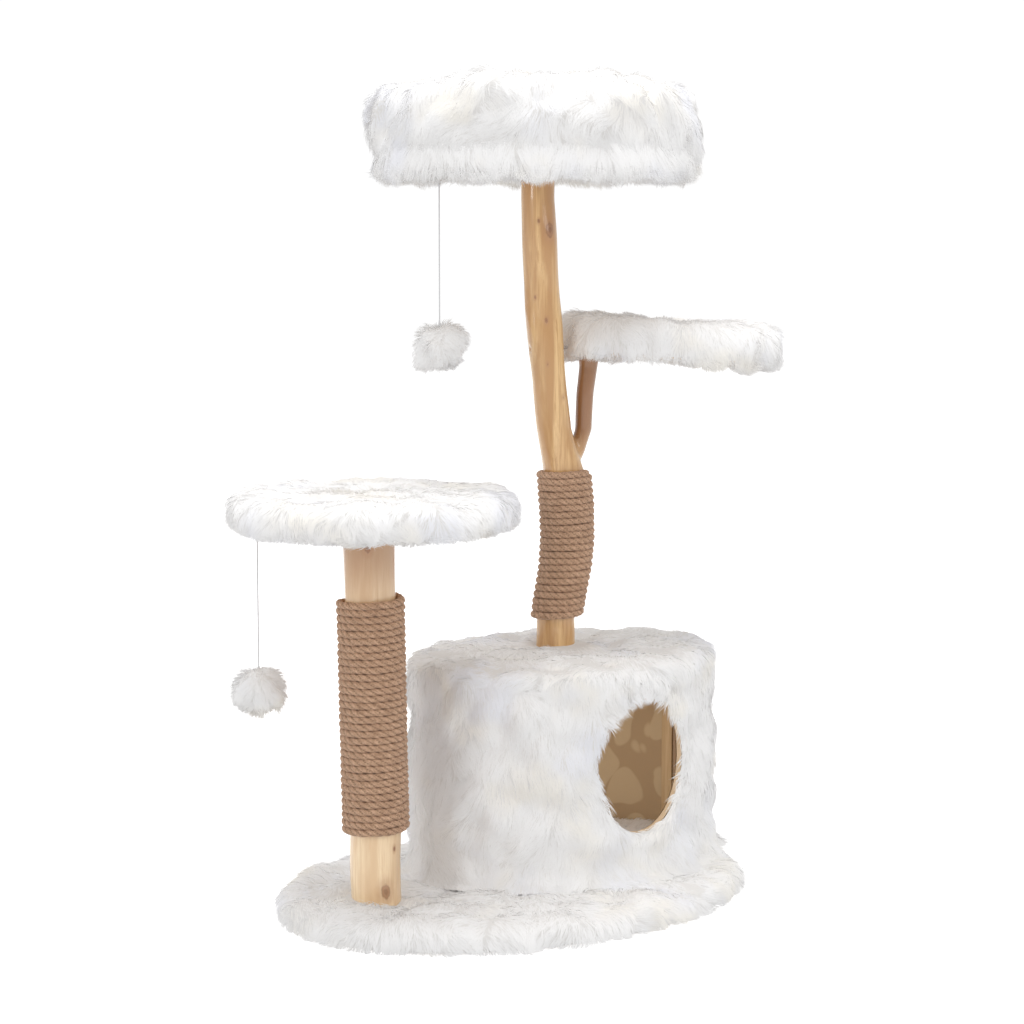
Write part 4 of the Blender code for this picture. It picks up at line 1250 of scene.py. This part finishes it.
@dataclass
class Bed:
    """The round bed: a stuffed ring, a cushion in it and a fur skirt round its board."""

    palette: Palette
    cloth_depth: float = 0.010
    ring_lump: float = 0.0060
    step: float = 0.006

    def build(self) -> None:
        """Builds the ring, the cushion and the skirt."""
        self.ring()
        self.cushion()
        self.skirt()

    def ring(self) -> None:
        """The stuffed ring, with soft lumps over it."""
        low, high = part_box("bed_bolster")
        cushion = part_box("bed_cushion")
        centre = (low + high) / 2
        outer, inner = (high.x - low.x) / 2 - 0.001, (cushion[1].x - cushion[0].x) / 2
        middle, half_width = (outer + inner) / 2, (outer - inner) / 2 - 0.8 * self.cloth_depth
        half_height = (high.z - low.z) / 2 - 0.7 * self.cloth_depth

        def place(section: Array, around: Array) -> Array:
            """Places the ring's corners.

            Args:
                section: the share of the way round the section.
                around: the share of the way round.

            Returns:
                One point to a row.
            """
            turn, tilt = -FULL_TURN * around, FULL_TURN * section
            across, up = np.cos(tilt), np.sin(tilt)
            fatten = (across**4 + up**4) ** -0.25
            fatten = 1 + (fatten - 1) * np.where(up < 0, 0.85, 0.55)
            out = middle + half_width * fatten * across
            return np.stack(
                [
                    centre.x + out * np.cos(turn),
                    centre.y + out * np.sin(turn),
                    centre.z + half_height * fatten * up - 0.006,
                ],
                axis=1,
            )

        bm = grid_surface(72, round(FULL_TURN * outer / self.step), place)
        bmesh.ops.recalc_face_normals(bm, faces=bm.faces)
        lumps, swell = Waves(81, 0.055), Waves(82, 0.15)
        displace(bm, lambda p: self.ring_lump * (0.6 * lumps(p) + 0.5 * swell(p)))
        ring = add_piece("bed_ring_cloth", bm, self.palette.cloth, Body.FRAME)
        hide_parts("bed_bolster")
        for number, side in (("1", 1), ("2", -1)):

            def keep(points: Array, facing: Array, side: int = side) -> Array:
                """Tells where fur grows."""
                hidden = (facing[:, 2] < -0.8) & (points[:, 2] < centre.z - 0.5 * half_height)
                return ~hidden & (side * (points[:, 0] - centre.x) > 0)

            pile = Pile(
                f"bed_ring_fur_{number}",
                84 + side,
                density=270000.0,
                length=0.025,
                axis=centre[:2],
                keep=keep,
                swing=0.8,
                droop=0.006,
                floor=low.z - 0.016,
            )
            pile.grow(ring, Body.FRAME, self.palette.fur)

    def cushion(self) -> None:
        """The cushion in the ring, crowned, with faint lumps on its top."""
        low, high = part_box("bed_cushion")
        centre, radius = (low + high) / 2, (high.x - low.x) / 2
        top = high.z - 0.006
        profile = rounded(
            ((-0.012, low.z + 0.001), (0, low.z + 0.005), (-0.001, low.z + 0.012), (-0.022, top), (-0.04, top)),
            0.004,
        )
        bm = OvalSkin((centre.x, centre.y), radius, radius, profile, step=0.005).surface()
        lumps = Waves(91, 0.06)
        displace(bm, lambda p: 0.0015 * lumps(p) * (p[:, 2] > low.z + 0.008))
        cushion = add_piece("bed_cushion_cloth", bm, self.palette.cloth, Body.FRAME)
        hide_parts("bed_cushion")

        def keep(points: Array, facing: Array) -> Array:
            """Keeps fur on the top."""
            return facing[:, 2] > 0.2

        pile = Pile("bed_cushion_fur", 92, length=0.022, axis=centre[:2], lift=0.7, keep=keep)
        pile.grow(cushion, Body.FRAME, self.palette.fur)

    def skirt(self) -> None:
        """The fur round the board's edge, turned under it."""
        low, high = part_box("bed_cover")
        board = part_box("bed_board")
        centre = (low + high) / 2
        out, radius = (high.x - low.x) / 2 - 0.003, (board[1].x - board[0].x) / 2
        profile = rounded(
            (
                (radius - 0.034 - out, low.z + 0.009),
                (-0.010, low.z + 0.006),
                (-0.002, low.z + 0.018),
                (0, high.z - 0.004),
                (-0.008, high.z + 0.022),
            ),
            0.004,
        )
        bm = OvalSkin((centre.x, centre.y), out, out, profile, cap=False).surface()
        skirt = add_piece("bed_skirt_cloth", bm, self.palette.cloth, Body.FRAME)
        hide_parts("bed_cover")
        pile = Pile(
            "bed_skirt_fur",
            95,
            length=0.026,
            axis=centre[:2],
            lift=0.5,
            droop=0.006,
            fringe=0.006,
            floor=low.z - 0.010,
        )
        pile.grow(skirt, Body.FRAME, self.palette.fur)


@dataclass
class Post:
    """A natural post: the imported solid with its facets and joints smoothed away, in lacquered wood."""

    node: str
    slot: str
    finish: Timber
    knots: Sequence[Knot] = field(default_factory=tuple)
    voxel: float = 0.0022
    rounds: int = 9
    bumps: float = 0.0009

    def build(self) -> None:
        """Builds the post."""
        bm = bmesh.new()
        bm.from_mesh(bpy.data.objects[self.node].data)
        bmesh.ops.remove_doubles(bm, verts=bm.verts, dist=WELD)
        rough = bpy.data.meshes.new("rough_post")
        bm.to_mesh(rough)
        bm.free()
        blank = bpy.data.objects.new("rough_post", rough)
        bpy.context.scene.collection.objects.link(blank)
        remesh = blank.modifiers.new("remesh", "REMESH")
        remesh.mode, remesh.voxel_size = "VOXEL", self.voxel
        smooth = blank.modifiers.new("smooth", "SMOOTH")
        smooth.factor, smooth.iterations = 0.5, self.rounds
        evaluated = blank.evaluated_get(bpy.context.evaluated_depsgraph_get())
        bm = bmesh.new()
        bm.from_mesh(evaluated.to_mesh())
        evaluated.to_mesh_clear()
        bpy.data.objects.remove(blank)
        hills = Waves(7, 0.05)
        displace(bm, lambda p: self.bumps * hills(p * np.array([1, 1, 0.4])))
        points = np.array([vert.co for vert in bm.verts], float)
        placed = [(self.on_surface(points, knot), knot) for knot in self.knots]
        for place, knot in placed:
            displace(bm, lambda p, at=place, k=knot: 0.10 * k.size * np.exp(-(((p - at) ** 2).sum(1)) / k.size**2))
        piece = add_piece(f"{self.node}_wood", bm, self.finish.make(placed), Body.FRAME)
        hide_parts(self.node)

    @staticmethod
    def on_surface(points: Array, knot: Knot) -> Vector:
        """A knot's place on the post's side.

        Args:
            points: the post's corners.
            knot: the knot.

        Returns:
            The place.
        """
        level = points[np.abs(points[:, 2] - knot.height) < 0.004]
        middle = np.median(level[:, :2], axis=0)
        turn = VIEW_TURN + knot.turn
        way = np.array([math.cos(turn), math.sin(turn)])
        gap = level[:, :2] - middle
        along = gap @ way
        aside = np.abs(gap @ np.array([-way[1], way[0]]))
        near = along[(aside < 0.004) & (along > 0)]
        reach = near.max() if len(near) else along.max()
        return Vector((*(middle + way * reach), knot.height))


@dataclass
class Winding:
    """Rope wound round a post: three strands twisted together, in turns that lie against each other."""

    node: str
    turns: float
    palette: Palette
    lays_per_turn: float = 7.4
    strand: float = 0.26
    stray: float = 0.00035
    step: float = 0.0026
    section: int = 15

    def levels(self) -> tuple[Array, Array, Array, Array]:
        """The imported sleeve's heights, with its middle and its mean outer radius at each.

        Returns:
            The heights, the middles in x and in y, and the radii.
        """
        points = node_points(self.node)
        heights = np.unique(points[:, 2].round(4))
        rows = [points[np.abs(points[:, 2] - height) < 0.0002] for height in heights]
        middles = np.array([row[:, :2].mean(axis=0) for row in rows])
        spans = [(row[:, :2].max(axis=0) - row[:, :2].min(axis=0)).mean() / 2 for row in rows]
        fine = np.linspace(heights[0], heights[-1], 161)
        window = np.hanning(25)
        window /= window.sum()
        smoothed = []
        for values in (middles[:, 0], middles[:, 1], np.array(spans)):
            line = np.interp(fine, heights, values)
            padded = np.concatenate([2 * line[0] - line[12:0:-1], line, 2 * line[-1] - line[-2:-14:-1]])
            smoothed.append(np.convolve(padded, window, mode="valid"))
        return fine, *smoothed

    def build(self) -> None:
        """Builds the rope, with its map and its groove values."""
        heights, xs, ys, outs = self.levels()
        pitch = (heights[-1] - heights[0]) / self.turns
        half = pitch / 2
        first, last = heights[0] + 0.15 * pitch, heights[-1] - 0.15 * pitch
        turns = (last - first) / pitch
        length = turns * FULL_TURN * (outs.mean() - half)
        sway, swell = Waves(5, 0.022), Waves(6, 0.03)
        rows = round(length / self.step)

        def place(section: Array, along: Array) -> Array:
            """Places the rope's corners.

            Args:
                section: the share of the way round the section.
                along: the share of the way along.

            Returns:
                One point to a row.
            """
            z = first + (last - first) * along
            turn = FULL_TURN * turns * along + VIEW_TURN + math.pi
            x, y = np.interp(z, heights, xs), np.interp(z, heights, ys)
            reach = np.interp(z, heights, outs) - half
            line = np.stack([reach * np.cos(turn), reach * np.sin(turn), z], axis=1)
            z = z + self.stray * sway(line)
            reach = reach + 0.6 * self.stray * swell(line)
            angle = FULL_TURN * section
            twist = angle + FULL_TURN * turns * self.lays_per_turn * along
            lobe = 1 - self.strand * (1 - np.abs(np.cos(1.5 * twist)) ** 0.8)
            tip = np.clip(np.minimum(along, 1 - along) * length / (0.8 * pitch), 0, 1)
            radius = half * 1.12 * lobe * np.sqrt(tip * (2 - tip))
            out, up = reach + radius * np.cos(angle), z + radius * np.sin(angle)
            return np.stack([x + out * np.cos(turn), y + out * np.sin(turn), up], axis=1)

        bm = bmesh.new()
        bmesh.ops.create_grid(bm, x_segments=self.section * 2, y_segments=rows, size=0.5)
        flat = np.array([vert.co[:2] for vert in bm.verts], float) + 0.5
        for vert, point in zip(bm.verts, place(flat[:, 0], flat[:, 1])):
            vert.co = point
        mesh = bpy.data.meshes.new(f"{self.node}_turns")
        bm.to_mesh(mesh)
        bm.free()
        self.mark(mesh, flat, length, turns)
        mesh.shade_smooth()
        mesh.materials.append(self.palette.sisal)
        rope = enrol(bpy.data.objects.new(f"{self.node}_turns", mesh), Body.FRAME)
        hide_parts(self.node)

    def mark(self, mesh: bpy.types.Mesh, flat: Array, length: float, turns: float) -> None:
        """Writes the rope's map and, for each corner, how deep it lies in a groove between strands, which sets the
        painted shade there.

        Args:
            mesh: the rope's mesh.
            flat: each corner's shares across and along the rope.
            length: the rope's length.
            turns: its turns round the post.
        """
        section, along = flat[:, 0], flat[:, 1]
        twist = FULL_TURN * (section + turns * self.lays_per_turn * along)
        groove = (1 - np.abs(np.cos(1.5 * twist))) ** 1.4
        values = mesh.attributes.new("groove", "FLOAT", "POINT")
        values.data.foreach_set("value", groove.astype(np.float32))
        corners = np.empty(len(mesh.loops), np.int32)
        mesh.loops.foreach_get("vertex_index", corners)
        across = section + turns * self.lays_per_turn * along
        places = np.stack([across, along * length], axis=1)[corners]
        mesh.uv_layers.new(name="rope").data.foreach_set("uv", places.astype(np.float32).ravel())


@dataclass
class Toy:
    """A pom-pom that hangs on a twisted string from a wire loop in a screw eye."""

    name: str
    seed: int
    palette: Palette
    loop_body: Body
    toy_body: Body
    slant: float = 0.0
    string_radius: float = 0.0010

    def build(self) -> None:
        """Builds the pom-pom, the string, the loop and the eye."""
        cloth = self.pompom()
        self.string(cloth)
        self.wires()

    def pompom(self) -> list[bpy.types.Object]:
        """The pom-pom: a small padded core and its pile.

        Returns:
            The core and its pile.
        """
        low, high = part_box(f"{self.name}_pompom")
        centre, radius = (low + high) / 2, (high.z - low.z) / 2
        bm = bmesh.new()
        bmesh.ops.create_icosphere(bm, subdivisions=4, radius=radius * 0.76)
        bmesh.ops.translate(bm, verts=bm.verts, vec=centre)
        lumps = Waves(self.seed, 0.03)
        slant = Vector((math.cos(VIEW_TURN + math.pi / 2), math.sin(VIEW_TURN + math.pi / 2), 1)).normalized()

        def heights(points: Array) -> Array:
            """Gives the core lumps and a slant.

            Args:
                points: the points, one to a row.

            Returns:
                How far each point moves out.
            """
            way = unit(points - np.array(centre))
            lean = way @ np.array(slant)
            return 0.0016 * lumps(points) + self.slant * radius * (np.abs(lean) ** 3 - 0.25)

        displace(bm, heights)
        core = add_piece(f"{self.name}_pompom_core", bm, self.palette.cloth, self.toy_body)
        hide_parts(f"{self.name}_pompom")
        pile = Pile(
            f"{self.name}_pompom_fur",
            self.seed + 1,
            length=radius * 0.48,
            density=560000.0,
            floor=low.z - 0.01,
            lay=Lay.BALL,
            axis=(centre.x, centre.y),
            lift=0.66,
            lock=0.005,
            tuft=0.016,
            gather=0.35,
            bunch=0.2,
            droop=0.0,
            flatten=0.0,
        )
        return [core, pile.grow(core, self.toy_body, self.palette.fur)]

    def string(self, pieces: list[bpy.types.Object]) -> None:
        """The twisted string, from the loop to the pom-pom's middle, with a knot under the loop.

        Args:
            pieces: the pom-pom's pieces; not used.
        """
        low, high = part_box(f"{self.name}_string")
        bottom = middle_of(f"{self.name}_pompom").z
        x, y = (low.x + high.x) / 2, (low.y + high.y) / 2
        length, radius = high.z - bottom, self.string_radius
        twists = length / 0.004

        def place(section: Array, along: Array) -> Array:
            """Places the string's corners.

            Args:
                section: the share of the way round the section.
                along: the share of the way along.

            Returns:
                One point to a row.
            """
            angle = FULL_TURN * section
            z = high.z - length * along
            twist = angle + FULL_TURN * twists * along
            knot = 1 + 0.9 * np.exp(-(((high.z - 0.0025 - z) / 0.0018) ** 2))
            reach = radius * (0.86 + 0.14 * np.abs(np.cos(1.5 * twist))) * knot
            return np.stack([x + reach * np.cos(angle), y + reach * np.sin(angle), z], axis=1)

        bm = grid_surface(10, round(length / 0.0006), place)
        bmesh.ops.holes_fill(bm, edges=[edge for edge in bm.edges if edge.is_boundary], sides=0)
        bmesh.ops.recalc_face_normals(bm, faces=bm.faces)
        string = add_piece(f"{self.name}_cord", bm, self.palette.string, self.toy_body)
        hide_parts(f"{self.name}_string")

    def wires(self) -> None:
        """The loop and the eye as round wire."""
        for part, body in (("loop", self.loop_body), ("eye", Body.FRAME)):
            node = f"{self.name}_{part}"
            bm = bmesh.new()
            bm.from_mesh(bpy.data.objects[node].data)
            bmesh.ops.remove_doubles(bm, verts=bm.verts, dist=WELD)
            bmesh.ops.subdivide_edges(bm, edges=bm.edges, cuts=2, use_grid_fill=True, smooth=0.6)
            wire = add_piece(f"{node}_wire", bm, self.palette.steel, body)
            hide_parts(node)


@dataclass
class Hardware:
    """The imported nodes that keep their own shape: boards, pads, the batten, screws, bolts and washers."""

    palette: Palette

    def dress(self, nodes: dict[str, bpy.types.Object]) -> None:
        """Gives each its finish.

        Args:
            nodes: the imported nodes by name.
        """
        plywood = Plain("plywood", (0.62, 0.46, 0.30), (0.50, 0.35, 0.21), 0.72, grain=(1, 0.12, 1), scale=160.0)
        ply = plywood.make()
        foam = Plain("foam", (0.80, 0.76, 0.64), (0.66, 0.62, 0.50), 0.92, scale=1400.0, relief=0.5).make()
        felt = Cloth("underlay_felt", (0.20, 0.20, 0.21), (0.12, 0.12, 0.13)).make()
        pine = Timber("batten_pine", (0.62, 0.44, 0.25), (0.48, 0.31, 0.16), gloss=0.1).make()
        finishes = {
            "screw": self.palette.steel,
            "bolt": self.palette.steel,
            "washer": self.palette.steel,
            "pad": foam,
            "underlay": felt,
            "batten": pine,
            "board": ply,
            "wall": ply,
        }
        for name, node in nodes.items():
            words = name.split("_")
            found = next((finishes[word] for word in finishes if word in words), None)
            if found and not node.hide_render:
                node.data.materials.clear()
                node.data.materials.append(found)
                LOG.info("%s keeps its shape", name)


# ---------------------------------------------------------------- the studio


@dataclass(frozen=True)
class Lamp:
    """A soft square light that points at the tree."""

    name: str
    place: tuple[float, float, float]
    size: float
    power: float
    tint: tuple[float, float, float] = (1.0, 1.0, 1.0)

    def hang(self, target: Vector) -> None:
        """Hangs the light.

        Args:
            target: the point that it aims at.
        """
        data = bpy.data.lights.new(self.name, "AREA")
        data.shape, data.size, data.energy, data.color = "SQUARE", self.size, self.power, self.tint
        lamp = bpy.data.objects.new(self.name, data)
        bpy.context.scene.collection.objects.link(lamp)
        lamp.location = self.place
        lamp.rotation_euler = (target - Vector(self.place)).to_track_quat("-Z", "Y").to_euler()


@dataclass(frozen=True)
class Studio:
    """A white floor and surround, soft lights, and the camera."""

    eye: tuple[float, float, float] = (-1.7293, -2.7952, 0.92)
    heading: float = 0.5531
    pitch: float = -0.118
    lens: float = 87.36
    glow: float = 0.62
    surround: float = 0.80

    def set_up(self) -> None:
        """Sets up the whole studio."""
        self.camera()
        self.floor()
        self.world()
        target = Vector((0.0, 0.0, 0.55))
        for lamp in (
            Lamp("key", (0.9, -3.4, 2.0), 1.7, 24.0, (1.0, 0.99, 0.975)),
            Lamp("window", (-3.1, -0.3, 1.2), 0.6, 12.0, (1.0, 0.99, 0.98)),
            Lamp("top", (0.2, 0.2, 5.2), 3.2, 150.0),
        ):
            lamp.hang(target)
        self.inner_light()
        view = bpy.context.scene.view_settings
        view.view_transform, view.look = "Standard", "None"
        view.exposure, view.gamma = 0.0, 1.0

    def inner_light(self) -> None:
        """A faint light inside the condo, beside its doorway, so that the lining shows."""
        data = bpy.data.lights.new("inner_light", "AREA")
        data.shape, data.size, data.energy, data.color = "SQUARE", 0.06, 0.38, (0.92, 0.97, 1.0)
        lamp = bpy.data.objects.new("inner_light", data)
        bpy.context.scene.collection.objects.link(lamp)
        lamp.location = (-0.025, -0.030, 0.185)
        lamp.rotation_euler = Vector((0.27, 0.11, -0.015)).to_track_quat("-Z", "Y").to_euler()
        lamp.visible_camera = False

    def camera(self) -> None:
        """The camera."""
        data = bpy.data.cameras.new("camera")
        data.lens, data.sensor_width = self.lens, 36.0
        camera = bpy.data.objects.new("camera", data)
        bpy.context.scene.collection.objects.link(camera)
        level = math.cos(self.pitch)
        way = Vector((math.sin(self.heading) * level, math.cos(self.heading) * level, math.sin(self.pitch)))
        camera.location = self.eye
        camera.rotation_euler = way.to_track_quat("-Z", "Y").to_euler()
        bpy.context.scene.camera = camera

    def floor(self) -> None:
        """A wide white floor that glows a little, so that it stays white to its edge."""
        bm = bmesh.new()
        bmesh.ops.create_grid(bm, x_segments=1, y_segments=1, size=12.0)
        mesh = bpy.data.meshes.new("floor")
        bm.to_mesh(mesh)
        bm.free()
        floor = bpy.data.objects.new("floor", mesh)
        bpy.context.scene.collection.objects.link(floor)
        bench = Bench("studio_floor")
        bench.set(Roughness=0.9, Emission_Color=(1, 1, 1, 1), Emission_Strength=self.glow)
        mesh.materials.append(bench.paint((0.82, 0.82, 0.82)))
        floor.visible_diffuse = False

    def world(self) -> None:
        """White surroundings, fainter as a light than they look."""
        world = bpy.data.worlds.new("surround")
        bpy.context.scene.world = world
        world.use_nodes = True
        nodes, links = world.node_tree.nodes, world.node_tree.links
        back = nodes["Background"]
        path = nodes.new("ShaderNodeLightPath")
        mix = nodes.new("ShaderNodeMapRange")
        mix.inputs["To Min"].default_value = self.surround
        mix.inputs["To Max"].default_value = 1.05
        links.new(path.outputs["Is Camera Ray"], mix.inputs["Value"])
        links.new(mix.outputs["Result"], back.inputs["Strength"])
        back.inputs["Color"].default_value = (1, 1, 1, 1)


def build_posts(palette: Palette) -> None:
    """Builds both posts and their ropes.

    Args:
        palette: the shared materials.
    """
    short = (
        Knot(0.505, 0.0, 0.0055, 0.9),
        Knot(0.057, 0.40, 0.0085, 0.75),
        Knot(0.112, 0.82, 0.0028, 0.9),
    )
    tall = (
        Knot(0.903, 0.57, 0.0085, 0.8),
        Knot(0.915, -0.10, 0.0025, 0.8),
        Knot(0.782, 0.12, 0.0030, 0.8),
        Knot(0.813, -0.45, 0.0022, 0.7),
        Knot(0.723, -0.55, 0.0022, 0.7),
        Knot(0.678, 0.10, 0.0028, 0.8),
        Knot(0.643, 0.65, 0.0045, 0.8),
    )
    # painted shade: the short post darkens towards its top, where the lower perch shades it
    shade = ToneBand("Z", 0.405, 0.49, 0.75, (0.46, 0.26, 0.145))
    limb = ToneBand("X", 0.112, 0.134, 0.88, (0.27, 0.115, 0.045), above=0.58)
    pine = Timber("pine_pole", (0.96, 0.76, 0.50), (0.76, 0.53, 0.31), bands=(shade,))
    honey = Timber("honey_trunk", (0.80, 0.53, 0.25), (0.52, 0.28, 0.105), gloss=0.8, bands=(limb,))
    Post("short_post", "pine", pine, short).build()
    Post("tall_post", "honey_wood", honey, tall).build()
    Winding("short_post_rope", 33.4, palette).build()
    Winding("tall_post_rope", 22.0, palette).build()


def main() -> None:
    """Builds the studio, then each sub-assembly in order."""
    logging.basicConfig(level=logging.INFO, format="%(message)s")
    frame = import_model()
    Studio().set_up()
    palette = Palette.mixed()
    for toy in (
        Toy("lower_toy", 101, palette, Body.LOWER_LOOP, Body.LOWER_TOY),
        Toy("upper_toy", 111, palette, Body.UPPER_LOOP, Body.UPPER_TOY, slant=0.16),
    ):
        toy.build()
    Base(palette).build()
    Condo(palette).build()
    build_posts(palette)
    Perch("lower_perch", 121, palette, bare_at="lower_toy_eye").build()
    Perch("mid_perch", 131, palette).build()
    Bed(palette).build()
    Hardware(palette).dress(frame["nodes"])


if __name__ == "__main__":
    main()
